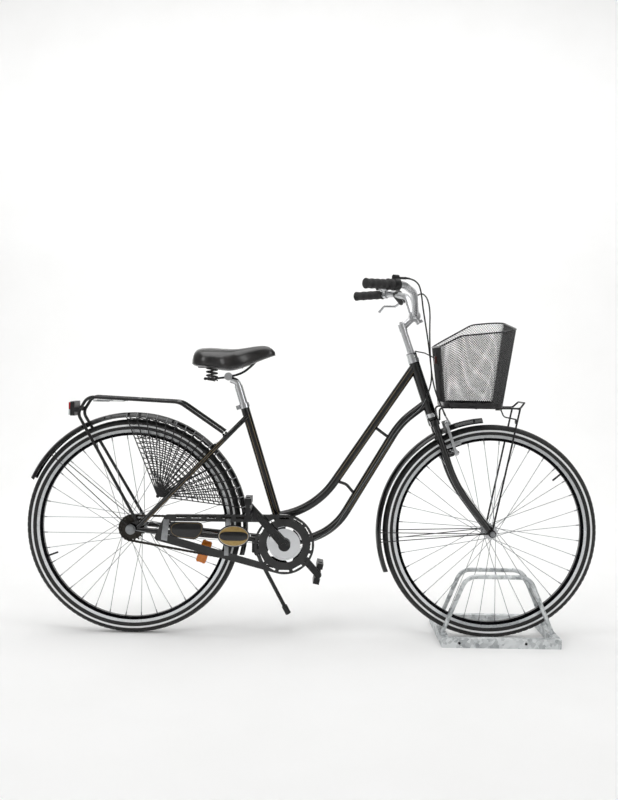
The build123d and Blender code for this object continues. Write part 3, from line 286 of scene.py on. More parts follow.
def makeFinish(name, look):
    # look: two colours that the surface drifts between, mottle and grain sizes in mm, roughness from and to
    shader = {"Metallic": look.get("metallic", 0.0)}
    for key, socket in (("coat", "Coat Weight"), ("coatRough", "Coat Roughness"),
                        ("ior", "IOR"), ("sheen", "Sheen Weight"),
                        ("clear", "Transmission Weight"), ("alpha", "Alpha")):
        if key in look:
            shader[socket] = look[key]
    material, tree, surface, where = startFinish(name, shader)
    mottle = addNode(tree, "ShaderNodeTexNoise", {"Scale": 1000 / look["mottle"], "Detail": 4.0},
        {"Vector": where})
    first, second = (toLinear(colour) for colour in look["colours"])
    colour = addNode(tree, "ShaderNodeMix", {6: first, 7: second}, {0: mottle.outputs["Fac"]},
        data_type="RGBA")
    tree.links.new(colour.outputs[2], surface.inputs["Base Color"])
    rough = addNode(tree, "ShaderNodeMapRange", {"From Min": 0.3, "From Max": 0.7,
        "To Min": look["rough"][0], "To Max": look["rough"][1]},
                    {"Value": mottle.outputs["Fac"]})
    tree.links.new(rough.outputs["Result"], surface.inputs["Roughness"])
    if look.get("bump"):
        stretch = addNode(tree, "ShaderNodeMapping", {"Scale": look.get("stretch", (1, 1, 1))},
            {"Vector": where})
        if look.get("cells"):
            grain = addNode(tree, "ShaderNodeTexVoronoi", {"Scale": 1000 / look["grain"]},
                {"Vector": stretch.outputs["Vector"]})
            height = grain.outputs["Distance"]
        else:
            grain = addNode(tree, "ShaderNodeTexNoise", {"Scale": 1000 / look["grain"], "Detail": 3.0},
                            {"Vector": stretch.outputs["Vector"]})
            height = grain.outputs["Fac"]
        bump = addNode(tree, "ShaderNodeBump", {"Strength": look["bump"], "Distance": look["grain"] / 2000},
            {"Height": height})
        tree.links.new(bump.outputs["Normal"], surface.inputs["Normal"])
    return material


finishes = {
    # stove enamel over steel: deep black, clear gloss, a very faint ripple like orange peel
    "glossBlackEnamel": dict(colours=("040405", "070708"), mottle=60, rough=(0.07, 0.12), coat=0.25,
        coatRough=0.04, grain=4, bump=0.05),
    # silver paint over steel and alloy: fine metal flake under lacquer
    "silverLacquer": dict(colours=("B9BABC", "D0D1D3"), mottle=35, rough=(0.22, 0.32), metallic=0.85,
        coat=0.4, grain=0.8, bump=0.08),
    # polished and lacquered aluminium: bright, slightly drawn surface
    "satinAluminium": dict(colours=("B4B6B8", "D2D3D5"), mottle=18, rough=(0.20, 0.34), metallic=1.0,
        grain=1.2, bump=0.1),
    # chromium plate: mirror bright with the odd duller patch
    "chromePlate": dict(colours=("C2C4C6", "DADBDD"), mottle=25, rough=(0.05, 0.12), metallic=1.0, grain=6,
        bump=0.02),
    # zinc plated steel fittings: greyish, a little cloudy
    "zincPlate": dict(colours=("7E8082", "A6A8AA"), mottle=9, rough=(0.26, 0.42), metallic=1.0, grain=1.0,
        bump=0.12),
    # powder coated black steel: satin with a fine pebble
    "satinBlackCoat": dict(colours=("060607", "0D0D0E"), mottle=20, rough=(0.24, 0.36), grain=1.4, bump=0.12),
    # injection moulded black polypropylene: spark texture, soft sheen
    "mouldedBlackPlastic": dict(colours=("0A0A0B", "131314"), mottle=14, rough=(0.36, 0.5), grain=0.9,
        bump=0.18, cells=True),
    # thermoformed black guard plastic: glossy with slow waves from the mould
    "glossBlackPlastic": dict(colours=("050506", "0A0A0B"), mottle=70, rough=(0.10, 0.18), coat=0.2,
        grain=22, bump=0.05),
    # smooth grey-black rubber of grips and treads: dusty, matt
    "gripRubber": dict(colours=("161617", "232222"), mottle=8, rough=(0.62, 0.8), grain=1.1, bump=0.25,
        sheen=0.15),
    # butyl tube and feet
    "blackRubber": dict(colours=("161616", "212020"), mottle=10, rough=(0.55, 0.7), grain=1.3, bump=0.2),
    # white reflective band moulded into the tyre wall
    "reflexBand": dict(colours=("E4E5E6", "F4F5F5"), mottle=6, rough=(0.35, 0.5), grain=1.5, bump=0.15,
        cells=True),
    # black PVC cable jacket
    "cableJacket": dict(colours=("060607", "0D0D0E"), mottle=15, rough=(0.28, 0.4), grain=1.5, bump=0.08),
    # knotted polyester cord of the skirt net
    "netCord": dict(colours=("08080A", "141416"), mottle=4, rough=(0.5, 0.7), grain=0.8, bump=0.4, sheen=0.2),
    # the same black cord painted grey where it lies over the fender: a painted highlight on its top
    "netCordPaintedHighlight": dict(colours=("6D6E70", "8A8B8D"), mottle=4, rough=(0.5, 0.7), grain=0.8, bump=0.3),
    # hand painted gold line under lacquer
    "goldLine": dict(colours=("7A6338", "9C8352"), mottle=12, rough=(0.3, 0.42), metallic=0.35, grain=1.2,
        bump=0.06),
    # printed gold of the badge
    "goldLeaf": dict(colours=("8E7440", "BCA066"), mottle=7, rough=(0.3, 0.42), metallic=0.4, grain=1.0,
        bump=0.1),
    # red lens over prisms
    "redLens": dict(colours=("B40C10", "DC1A1C"), mottle=9, rough=(0.08, 0.16), coat=0.6, clear=0.15,
        grain=3.2, bump=0.6, cells=True),
    # clear reflector part of the rear lamp
    "clearLens": dict(colours=("C8CACC", "E2E3E4"), mottle=9, rough=(0.08, 0.18), coat=0.6, clear=0.2,
        grain=3.2, bump=0.6, cells=True),
    # amber acrylic reflector with its pyramids on the back
    "amberReflector": dict(colours=("E8780A", "FFA030"), mottle=8, rough=(0.08, 0.16), coat=0.6, clear=0.15,
        grain=3.0, bump=0.7, cells=True),
    # reddish brown nylon clip of the basket
    "brownNylon": dict(colours=("3A1712", "52241B"), mottle=6, rough=(0.35, 0.5), grain=1.2, bump=0.15),
    # chain steel: oiled, brown-grey in the joints
    "oiledSteel": dict(colours=("262422", "45423E"), mottle=5, rough=(0.25, 0.42), metallic=1.0, grain=1.0,
        bump=0.15),
    # studio paper
    "studioPaper": dict(colours=("F4F4F3", "FAFAFA"), mottle=400, rough=(0.75, 0.85), grain=3.0, bump=0.02),
}
paint = {name: makeFinish(name, look) for name, look in finishes.items()}


def makeGalvanised():
    # hot dipped zinc: spangle crystals of 6 to 15 mm that differ in grey and gloss, a few dull stains
    material, tree, surface, where = startFinish("galvanisedSteel", {"Metallic": 0.6})
    crystals = addNode(tree, "ShaderNodeTexVoronoi", {"Scale": 1000 / 11}, {"Vector": where})
    grey = addNode(tree, "ShaderNodeSeparateColor", None, {"Color": crystals.outputs["Color"]})
    stains = addNode(tree, "ShaderNodeTexNoise", {"Scale": 1000 / 55, "Detail": 5.0}, {"Vector": where})
    level = addNode(tree, "ShaderNodeMath", {1: 0.65}, {0: grey.outputs["Red"]}, operation="MULTIPLY")
    total = addNode(tree, "ShaderNodeMath", None, {0: level.outputs[0], 1: stains.outputs["Fac"]},
        operation="ADD")
    ramp = addNode(tree, "ShaderNodeValToRGB", None, {"Fac": total.outputs[0]})
    ramp.color_ramp.elements[0].position = 0.3
    ramp.color_ramp.elements[0].color = toLinear("8C9194")
    ramp.color_ramp.elements[1].position = 1.0
    ramp.color_ramp.elements[1].color = toLinear("DDE0E1")
    rough = addNode(tree, "ShaderNodeMapRange", {"To Min": 0.34, "To Max": 0.6},
        {"Value": grey.outputs["Green"]})
    bump = addNode(tree, "ShaderNodeBump", {"Strength": 0.12, "Distance": 0.0004},
        {"Height": stains.outputs["Fac"]})
    tree.links.new(ramp.outputs["Color"], surface.inputs["Base Color"])
    tree.links.new(rough.outputs["Result"], surface.inputs["Roughness"])
    tree.links.new(bump.outputs["Normal"], surface.inputs["Normal"])
    return material


def makeSaddleVinyl():
    # embossed black vinyl: leather grain of 1 to 2 mm, glossy film, slightly brown where it is stretched
    material, tree, surface, where = startFinish("saddleVinyl", {"Coat Weight": 0.5, "Coat Roughness": 0.12})
    grain = addNode(tree, "ShaderNodeTexVoronoi", {"Scale": 1000 / 1.8}, {"Vector": where},
        feature="SMOOTH_F1")
    folds = addNode(tree, "ShaderNodeTexNoise", {"Scale": 1000 / 30, "Detail": 5.0}, {"Vector": where})
    ramp = addNode(tree, "ShaderNodeValToRGB", None, {"Fac": folds.outputs["Fac"]})
    ramp.color_ramp.elements[0].position = 0.35
    ramp.color_ramp.elements[0].color = toLinear("070606")
    ramp.color_ramp.elements[1].position = 0.75
    ramp.color_ramp.elements[1].color = toLinear("15100D")
    rough = addNode(tree, "ShaderNodeMapRange", {"To Min": 0.26, "To Max": 0.42},
        {"Value": folds.outputs["Fac"]})
    fine = addNode(tree, "ShaderNodeBump", {"Strength": 0.22, "Distance": 0.0005},
        {"Height": grain.outputs["Distance"]})
    soft = addNode(tree, "ShaderNodeBump", {"Strength": 0.12, "Distance": 0.002},
                   {"Height": folds.outputs["Fac"], "Normal": fine.outputs["Normal"]})
    tree.links.new(ramp.outputs["Color"], surface.inputs["Base Color"])
    tree.links.new(rough.outputs["Result"], surface.inputs["Roughness"])
    tree.links.new(soft.outputs["Normal"], surface.inputs["Normal"])
    return material


def makeRimMetal(name, centre):
    # extruded rim: bright braking walls with turning lines, black well between them
    material, tree, surface, where = startFinish(name, {"Metallic": 1.0})
    moved = addNode(tree, "ShaderNodeMapping", {"Location": (-centre.x, 0, -centre.z)}, {"Vector": where})
    flat = addNode(tree, "ShaderNodeVectorMath", {1: (1, 0, 1)}, {0: moved.outputs["Vector"]},
        operation="MULTIPLY")
    radius = addNode(tree, "ShaderNodeVectorMath", None, {0: flat.outputs["Vector"]}, operation="LENGTH")
    inWell = addNode(tree, "ShaderNodeMath", {1: 0.3065}, {0: radius.outputs["Value"]}, operation="LESS_THAN")
    lines = addNode(tree, "ShaderNodeMath", {1: 2400.0}, {0: radius.outputs["Value"]}, operation="MULTIPLY")
    wave = addNode(tree, "ShaderNodeMath", None, {0: lines.outputs[0]}, operation="SINE")
    cloud = addNode(tree, "ShaderNodeTexNoise", {"Scale": 1000 / 20, "Detail": 4.0}, {"Vector": where})
    tones = {6: toLinear("DADCDE"), 7: toLinear("0E0E10")}
    colour = addNode(tree, "ShaderNodeMix", tones, {0: inWell.outputs[0]}, data_type="RGBA")
    rough = addNode(tree, "ShaderNodeMapRange", {"To Min": 0.2, "To Max": 0.36},
        {"Value": cloud.outputs["Fac"]})
    bump = addNode(tree, "ShaderNodeBump", {"Strength": 0.08, "Distance": 0.0003},
        {"Height": wave.outputs[0]})
    tree.links.new(colour.outputs[2], surface.inputs["Base Color"])
    tree.links.new(rough.outputs["Result"], surface.inputs["Roughness"])
    tree.links.new(bump.outputs["Normal"], surface.inputs["Normal"])
    return material


def makeTyreRubber():
    # vulcanised tread rubber: almost black, dusty grey in the low places, fine moulding grain
    material, tree, surface, where = startFinish("tyreRubber", {"Sheen Weight": 0.1})
    dust = addNode(tree, "ShaderNodeTexNoise", {"Scale": 1000 / 26, "Detail": 6.0}, {"Vector": where})
    ramp = addNode(tree, "ShaderNodeValToRGB", None, {"Fac": dust.outputs["Fac"]})
    ramp.color_ramp.elements[0].position = 0.35
    ramp.color_ramp.elements[0].color = toLinear("0D0D0D")
    ramp.color_ramp.elements[1].position = 0.8
    ramp.color_ramp.elements[1].color = toLinear("1E1D1C")
    grain = addNode(tree, "ShaderNodeTexVoronoi", {"Scale": 1000 / 1.2}, {"Vector": where})
    rough = addNode(tree, "ShaderNodeMapRange", {"To Min": 0.55, "To Max": 0.8},
        {"Value": dust.outputs["Fac"]})
    bump = addNode(tree, "ShaderNodeBump", {"Strength": 0.15, "Distance": 0.0004},
        {"Height": grain.outputs["Distance"]})
    tree.links.new(ramp.outputs["Color"], surface.inputs["Base Color"])
    tree.links.new(rough.outputs["Result"], surface.inputs["Roughness"])
    tree.links.new(bump.outputs["Normal"], surface.inputs["Normal"])
    return material


paint["galvanisedSteel"] = makeGalvanised()
paint["saddleVinyl"] = makeSaddleVinyl()
paint["tyreRubber"] = makeTyreRubber()
paint["frontRim"] = makeRimMetal("frontRimAluminium", frontHub)
paint["rearRim"] = makeRimMetal("rearRimAluminium", rearHub)

nodeFinish = {
    "stand_base": "galvanisedSteel", "stand_hoops": "galvanisedSteel",
    "fork": "glossBlackEnamel", "frame": "glossBlackEnamel",
    "headset_nut_and_bolts": "chromePlate", "stem": "silverLacquer", "handlebar": "silverLacquer",
    "left_grip": "gripRubber", "right_grip": "gripRubber", "shifter_sleeve": "gripRubber",
    "shifter_housing": "mouldedBlackPlastic", "brake_lever_bracket": "mouldedBlackPlastic",
    "brake_lever": "satinAluminium", "bell": "chromePlate", "bell_lever": "mouldedBlackPlastic",
    "front_brake_cable": "cableJacket", "gear_cable": "cableJacket", "gear_wire": "zincPlate",
    "front_fender": "glossBlackPlastic", "rear_fender": "glossBlackPlastic", "front_rack": "satinBlackCoat",
    "basket": "satinBlackCoat", "basket_strut": "satinBlackCoat", "left_brake_arm": "satinAluminium",
    "right_brake_arm": "satinAluminium", "brake_noodle": "zincPlate", "front_axle": "zincPlate",
    "bearing_cups": "chromePlate", "seat_clamp": "chromePlate", "skirt_guards": "netCord",
    "rear_rack": "satinBlackCoat", "rack_clip": "satinBlackCoat", "rack_clip_springs": "zincPlate",
    "tail_light": "mouldedBlackPlastic", "chain_guard": "glossBlackPlastic",
        "chain_guard_trim": "glossBlackPlastic",
    "chain": "oiledSteel", "rear_axle": "zincPlate", "coaster_arm": "zincPlate",
        "rear_sprocket": "oiledSteel",
    "cranks": "satinBlackCoat", "chainring": "chromePlate", "pedal_spindles": "zincPlate",
    "right_pedal": "mouldedBlackPlastic", "left_pedal": "mouldedBlackPlastic",
    "kickstand_bracket": "satinBlackCoat", "kickstand_leg": "satinBlackCoat", "seat_post": "chromePlate",
    "saddle_frame": "satinBlackCoat", "saddle": "saddleVinyl",
    "front_tyre": "tyreRubber", "rear_tyre": "tyreRubber", "front_inner_tube": "blackRubber",
    "rear_inner_tube": "blackRubber", "front_rim": "frontRim", "rear_rim": "rearRim",
    "front_spokes": "zincPlate", "rear_spokes": "zincPlate",
    "front_hub_shell": "satinAluminium", "rear_hub_shell": "satinAluminium",
}
for nodeName, finishName in nodeFinish.items():
    nodes[nodeName].data.materials.clear()
    nodes[nodeName].data.materials.append(paint[finishName])
print("finishes made:", len(paint))


# studio: camera, cove and lights
studio = {
    "lens": 46.685,  # on a 36 mm long side
    "eye": (-0.6067, -3.3786, 0.8814),
    "yaw": -0.178, "down": 1.903, "roll": 0.917,
    "coveDepth": 5.0, "coveHeight": 6.0, "coveBend": 1.6,
}


def makeCamera():
    yaw, down, roll = (math.radians(studio[key]) for key in ("yaw", "down", "roll"))
    ahead = Vector((-math.sin(yaw) * math.cos(down), math.cos(yaw) * math.cos(down), -math.sin(down)))
    right = Vector((math.cos(yaw), math.sin(yaw), 0))
    up = right.cross(ahead)
    tiltRight = right * math.cos(roll) + up * math.sin(roll)
    tiltUp = up * math.cos(roll) - right * math.sin(roll)
    lens = bpy.data.cameras.new("studioCamera")
    lens.lens = studio["lens"]
    lens.sensor_width = 36
    lens.clip_end = 60
    camera = bpy.data.objects.new("studioCamera", lens)
    turn = Matrix((tiltRight, tiltUp, -ahead)).transposed().to_4x4()
    camera.matrix_world = Matrix.Translation(studio["eye"]) @ turn
    bpy.context.scene.collection.objects.link(camera)
    bpy.context.scene.camera = camera


def makeCove():
    # floor that curves up into a wall behind
    clearSelection()
    bpy.ops.mesh.primitive_plane_add(size=1)
    floor = bpy.context.object
    floor.data.transform(Matrix.Translation((-0.6, -1.0, 0)) @ Matrix.Diagonal((24,
        2 * studio["coveDepth"] + 2, 1, 1)))
    back = max(vertex.co.y for vertex in floor.data.vertices)
    activate(floor)
    bpy.ops.object.mode_set(mode="EDIT")
    bpy.ops.mesh.select_mode(type="EDGE")
    bpy.ops.object.mode_set(mode="OBJECT")
    for edge in floor.data.edges:
        edge.select = all(floor.data.vertices[i].co.y > back - 0.01 for i in edge.vertices)
    bpy.ops.object.mode_set(mode="EDIT")
    bpy.ops.mesh.extrude_region_move(TRANSFORM_OT_translate={"value": (0, 0, studio["coveHeight"])})
    bpy.ops.object.mode_set(mode="OBJECT")
    applyModifier(floor, "BEVEL", width=studio["coveBend"], segments=16, limit_method="ANGLE")
    floor.name = "studioFloor"
    floor.data.materials.append(paint["studioPaper"])
    activate(floor)
    bpy.ops.object.shade_smooth()


def addSoftbox(name, place, aim, size, power):
    light = bpy.data.lights.new(name, "AREA")
    light.shape = "RECTANGLE"
    light.size, light.size_y = size
    light.energy = power
    box = bpy.data.objects.new(name, light)
    box.location = place
    box.rotation_euler = (Vector(aim) - Vector(place)).to_track_quat("-Z", "Y").to_euler()
    bpy.context.scene.collection.objects.link(box)


def makeLights():
    world = bpy.data.worlds.new("studioAir")
    world.use_nodes = True
    background = world.node_tree.nodes["Background"]
    background.inputs["Color"].default_value = (1, 1, 1, 1)
    background.inputs["Strength"].default_value = 0.2
    bpy.context.scene.world = world
    bpy.context.scene.view_settings.view_transform = "Standard"
    aim = (-0.6, 0, 0.5)
    addSoftbox("topSoftbox", (-0.6, -0.4, 3.6), aim, (4.5, 3.0), 92)
    addSoftbox("leftSoftbox", (-3.4, -2.6, 2.2), aim, (1.2, 2.4), 26)
    addSoftbox("rightSoftbox", (2.4, -2.8, 2.0), aim, (1.0, 2.4), 22)
    addSoftbox("coveWash", (-0.6, 2.2, 3.6), (-0.6, 5.0, 1.0), (9.0, 1.0), 125)


makeCamera()
makeCove()
makeLights()
print("studio ready")


# held cables: same routes as the part, in metres
brakeCable = [
    (-0.270, 0.160, 1.102), (-0.250, 0.132, 1.112), (-0.236, 0.096, 1.124), (-0.224, 0.062, 1.126),
    (-0.211, 0.034, 1.105), (-0.205, 0.015, 1.062), (-0.207, 0.004, 1.005), (-0.206, -0.003, 0.948),
    (-0.203, -0.008, 0.890), (-0.196, -0.016, 0.838), (-0.186, -0.032, 0.795), (-0.171, -0.047, 0.758),
    (-0.158, -0.054, 0.727),
]
gearCable = [
    (-0.3045, -0.1952, 1.153), (-0.284, -0.180, 1.152), (-0.262, -0.152, 1.140), (-0.250, -0.118, 1.116),
    (-0.240, -0.082, 1.072), (-0.228, -0.054, 1.022), (-0.217, -0.040, 0.970), (-0.209, -0.036, 0.915),
    (-0.202, -0.036, 0.862), (-0.204, -0.032, 0.822), (-0.214, -0.027, 0.792),
]
cableLook = {"radius": 0.0025, "cap": 0.0031, "capLength": 0.012}


def makeCable(points):
    cable = bentWire([points], cableLook["radius"], finer=10)
    caps = []
    for near, far in ((points[0], points[1]), (points[-1], points[-2])):
        way = (Vector(far) - Vector(near)).normalized()
        caps.append(roundBar(near, Vector(near) + way * cableLook["capLength"], cableLook["cap"], 20, 0.0004))
    return joinAll([cable, *caps], "cable")


def makeCables():
    present(makeCable(brakeCable), "brakeCable", "front_fork", paint["cableJacket"], "cable_jacket",
        "front_brake_cable")
    cable = present(makeCable(gearCable), "gearCable", None, paint["cableJacket"], "cable_jacket",
        "gear_cable")
    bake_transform(cable)


makeCables()
print("cables laid")


# tyres
tyreLook = {
    "centre": 0.330, "section": 0.019, "wall": 0.0035, "bead": 0.3162,
    "blocks": 110, "groove": 0.0012, "outerSteps": 30, "stripe": (0.3275, 0.3325),
}


def tyrePoint(hub, u, v):
    look = tyreLook
    steps = look["outerSteps"]
    i, j = round(u * (steps + 8)), round(v * look["blocks"] * 6)
    around = 2 * math.pi * v
    beadAngle = math.acos((look["bead"] - look["centre"]) / look["section"])
    inner = look["section"] - look["wall"]
    if i <= steps or i == steps + 8:
        turn = beadAngle * (2 * (i % (steps + 8)) / steps - 1)
        size = look["section"]
        across = abs(math.degrees(turn))
        phase = (j + (3 if turn < 0 else 0)) % 6
        if 14 < across < 52 and phase == 0 or 6 < across < 13:
            size -= look["groove"]
    else:
        beadAngle = math.acos((look["bead"] - look["centre"]) / inner)
        turn = beadAngle * (1 - 2 * (i - steps - 1) / 6)
        size = inner
    radius = look["centre"] + size * math.cos(turn)
    return hub + Vector((radius * math.cos(around), size * math.sin(turn), radius * math.sin(around)))


def makeTyre(hub, name, body, node):
    tyre = gridPiece(tyreLook["outerSteps"] + 8, tyreLook["blocks"] * 6, lambda u, v: tyrePoint(hub, u, v))
    present(tyre, name, body, paint["tyreRubber"], "tyre_rubber", node, angle=40)
    tyre.data.materials.append(paint["reflexBand"])
    low, high = tyreLook["stripe"]
    for polygon in tyre.data.polygons:
        away = polygon.center - hub
        reach = math.hypot(away.x, away.z)
        if low < reach < high and abs(away.y) > 0.0175:
            polygon.material_index = 1


makeTyre(frontHub, "frontTyre", "front_wheel", "front_tyre")
makeTyre(rearHub, "rearTyre", "rear_wheel", "rear_tyre")
print("tyres made")


# spokes with their nipples
spokeLook = {"count": 18, "radius": 0.001, "nipple": 0.0019, "nippleLength": 0.012, "reach": 0.2968,
    "cross": 62, "layer": 0.0024}
hubLooks = {
    "front": {"flange": 0.034, "holes": 0.018, "sheet": 0.003, "valve": 39.7},
    "rear": {"flange": 0.027, "holes": 0.032, "sheet": 0.003, "valve": 200.0},
}


def makeSpokes(hub, wheel):
    hubLook = hubLooks[wheel]
    pieces = []
    step = 360 / spokeLook["count"]
    for side in (-1, 1):
        for i in range(spokeLook["count"]):
            lean = 1 if i % 2 else -1
            atRim = math.radians(step * i + (step / 2 if side < 0 else 0) + hubLook["valve"] + 5)
            atHub = atRim + lean * math.radians(spokeLook["cross"])
            inset = spokeLook["layer"] if lean > 0 else 0
            yHub = side * (hubLook["flange"] - hubLook["sheet"] / 2 - spokeLook["radius"] - 0.00015 - inset)
            yRim = side * (0.0015 + spokeLook["layer"] - inset)
            start = hub + Vector((hubLook["holes"] * math.cos(atHub), yHub,
                hubLook["holes"] * math.sin(atHub)))
            end = hub + Vector((spokeLook["reach"] * math.cos(atRim), yRim,
                spokeLook["reach"] * math.sin(atRim)))
            way = (end - start).normalized()
            pieces.append(roundBar(start, end - way * 0.002, spokeLook["radius"], 10))
            pieces.append(roundBar(end - way * spokeLook["nippleLength"], end, spokeLook["nipple"], 10,
                0.0004))
            head = Vector((0, side * 0.0022, 0))
            pieces.append(roundBar(start - head, start + head, 0.0013, 10, 0.0003))
    spokes = joinAll(pieces, wheel + "Spokes")
    return present(spokes, wheel + "Spokes", wheel + "_wheel", paint["zincPlate"], "steel", wheel + "_spokes")


reflectorLook = {"reach": 0.243, "angle": -19, "half": (0.017, 0.039), "thick": 0.005,
    "wave": 0.0009}


def makeWheelReflector():
    # amber reflector clipped on the spokes, with a wavy edge
    look = reflectorLook
    outline = []
    for i in range(144):
        turn = 2 * math.pi * i / 144
        corner = 0.28
        x = look["half"][0] * math.copysign(abs(math.cos(turn)) ** corner, math.cos(turn))
        z = look["half"][1] * math.copysign(abs(math.sin(turn)) ** corner, math.sin(turn))
        shrink = 1 - look["wave"] / look["half"][0] * (1 + math.cos(16 * turn)) / 2
        outline.append((x * shrink, z * shrink))
    face = cutPlate(outline, -look["thick"], 0, 0.0006)
    pickFaces(face, lambda polygon: polygon.normal.y < -0.9)
    bpy.ops.mesh.inset(thickness=0.004)
    bpy.ops.mesh.extrude_region_move(TRANSFORM_OT_translate={"value": (0, 0.0012, 0)})
    bpy.ops.object.mode_set(mode="OBJECT")
    turn = Matrix.Rotation(-math.radians(look["angle"]), 4, "Y")
    middle = turn @ Vector((look["reach"], 0, 0))
    face.data.transform(Matrix.Translation(rearHub + middle + Vector((0, -0.0099, 0))) @ turn)
    present(face, "wheelReflector", "rear_wheel", paint["amberReflector"], "lamp")


makeSpokes(frontHub, "front")
makeSpokes(rearHub, "rear")
makeWheelReflector()
print("spokes laced")


# basket of diamond wire mesh, drawn with openings of 6 to 10 mm so that they show
basketLook = {
    "floor": 0.7573, "top": 1.045,
    "low": {"middle": -0.074, "length": 0.184, "width": 0.260, "corner": 0.045},
    "high": {"middle": -0.070, "length": 0.256, "width": 0.340, "corner": 0.062},
    "across": 128, "up": 30, "wire": 0.0016, "rim": 0.0026, "band": 0.014,
}


def roundedEdge(box, u):
    # point on a rounded rectangle, u going once round it
    halfX, halfY, corner = box["length"] / 2, box["width"] / 2, box["corner"]
    runX, runY, arc = 2 * (halfX - corner), 2 * (halfY - corner), math.pi / 2 * corner
    place = (u % 1.0) * (2 * runX + 2 * runY + 4 * arc)
    x, y = halfX, -halfY + corner
    for turn, run in ((90, runY), (180, runX), (270, runY), (360, runX)):
        way = Vector((math.cos(math.radians(turn)), math.sin(math.radians(turn))))
        if place <= run:
            return Vector((x, y)) + way * place
        place -= run
        x, y = Vector((x, y)) + way * run
        left = Vector((-way.y, way.x))
        centre = Vector((x, y)) + left * corner
        if place <= arc:
            swing = place / corner
            return centre + way * (corner * math.sin(swing)) - left * (corner * math.cos(swing))
        place -= arc
        x, y = centre + way * corner
    return Vector((halfX, -halfY + corner))


def basketSide(u, z, inset=0.0):
    look = basketLook
    share = (z - look["floor"]) / (look["top"] - look["floor"])
    low, high = ({**look[key],
                  "length": look[key]["length"] - 2 * inset,
                  "width": look[key]["width"] - 2 * inset}
                 for key in ("low", "high"))
    flat = roundedEdge(low, u).lerp(roundedEdge(high, u), share)
    middle = low["middle"] + (high["middle"] - low["middle"]) * share
    return Vector((middle + flat.x, flat.y, z))


def rimHeight(x, y):
    lean = 1.012 + 0.11 * (x + 0.042) + 0.118 * y
    fall = 0.958 + 0.569 * (x + 0.174)
    return min(lean, fall)


def basketRim(u, inset=0.0):
    z = 1.0
    for _ in range(12):
        place = basketSide(u, z, inset)
        z = rimHeight(place.x, place.y) - 0.003
    return basketSide(u, z, inset)


def diamondMesh(piece, wire):
    # grid to diamonds: poke every face, drop the first edges, then give each edge a wire
    first = len(piece.data.vertices)
    activate(piece)
    bpy.ops.object.mode_set(mode="EDIT")
    bpy.ops.mesh.select_all(action="SELECT")
    bpy.ops.mesh.poke()
    bpy.ops.mesh.select_mode(type="EDGE")
    bpy.ops.mesh.select_all(action="DESELECT")
    bpy.ops.mesh.select_non_manifold()
    bpy.ops.object.mode_set(mode="OBJECT")
    border = {edge.index for edge in piece.data.edges if edge.select}
    for edge in piece.data.edges:
        edge.select = edge.index not in border and max(edge.vertices) < first
    bpy.ops.object.mode_set(mode="EDIT")
    bpy.ops.mesh.dissolve_edges(use_verts=False)
    bpy.ops.object.mode_set(mode="OBJECT")
    return applyModifier(piece, "WIREFRAME", thickness=wire, use_even_offset=False, offset=0)


def floorPoint(u, v):
    low = basketLook["low"]
    a, b = 2 * u - 1, 2 * v - 1
    reach = max(abs(a), abs(b))
    if reach < 1e-6:
        return Vector((low["middle"], 0, basketLook["floor"] + 0.001))
    halfX, halfY, corner = low["length"] / 2 - 0.002, low["width"] / 2 - 0.002, low["corner"]
    x, y = a / reach * halfX, b / reach * halfY
    overX, overY = abs(x) - (halfX - corner), abs(y) - (halfY - corner)
    if overX > 0 and overY > 0:
        far = math.hypot(overX, overY)
        if far > corner:
            x = math.copysign(halfX - corner + overX * corner / far, x)
            y = math.copysign(halfY - corner + overY * corner / far, y)
    return Vector((low["middle"] + x * reach, y * reach, basketLook["floor"] + 0.001))


def makeBasket():
    look = basketLook

    rims = {}

    def wall(u, v):
        key = round(u * look["across"])
        if key not in rims:
            rims[key] = basketRim(u, 0.001).z
        return basketSide(u, look["floor"] + (rims[key] - look["floor"]) * v, 0.001)

    mesh = diamondMesh(gridPiece(look["across"], look["up"], wall), look["wire"])
    present(mesh, "basketMesh", "front_fork", paint["satinBlackCoat"], "basket_wire", "basket")
    ground = diamondMesh(gridPiece(26, 32, floorPoint), look["wire"])
    present(ground, "basketFloor", "front_fork", paint["satinBlackCoat"], "basket_wire")
    rimPoints = [basketRim(i / 72, 0.001) for i in range(72)]
    rim = bentWire([rimPoints], look["rim"], closed=True)
    foot = bentWire([[basketSide(i / 72, look["floor"] + 0.003, 0.001) for i in range(72)]], 0.0022,
        closed=True)
    rim = joinAll([rim, foot], "basketRim")
    present(rim, "basketRim", "front_fork", paint["satinBlackCoat"], "basket_wire")
    band = gridPiece(120, 1, lambda u, v: basketSide(u, look["floor"] + look["band"] * v, 0.0005))
    applyModifier(band, "SOLIDIFY", thickness=0.0008, offset=0)
    present(band, "basketBand", "front_fork", paint["satinBlackCoat"], "basket_wire")
    clip = block((-0.1905, -0.010, 0.893), (-0.1835, 0.010, 0.918), 0.002)
    present(clip, "basketClip", "front_fork", paint["brownNylon"], "black_plastic")


makeBasket()
print("basket woven")


# saddle: padded cover with piping, moulded base, rails and coil springs
saddleLook = {
    # from the back to the nose: x, half width, lower edge and top, in mm
    "stations": (
        (-973, 46, 881, 896), (-968, 66, 876, 917), (-956, 83, 872, 929), (-935, 97, 869, 933.5),
        (-905, 102, 866, 934),
        (-878, 95, 861, 932.5), (-853, 80, 860, 931.5), (-830, 61, 864, 932), (-806, 46, 873, 935.5),
        (-780, 35, 883, 940),
        (-755, 29, 894, 943), (-735, 25, 902, 942), (-719, 19, 908, 934), (-708, 11, 912, 922),
    ),
    "around": 44, "along": 52, "piping": 0.0014, "fill": 0.9,
    "railRadius": 0.0035, "wire": 0.0024, "coil": 0.0133, "turns": 3.5,
}


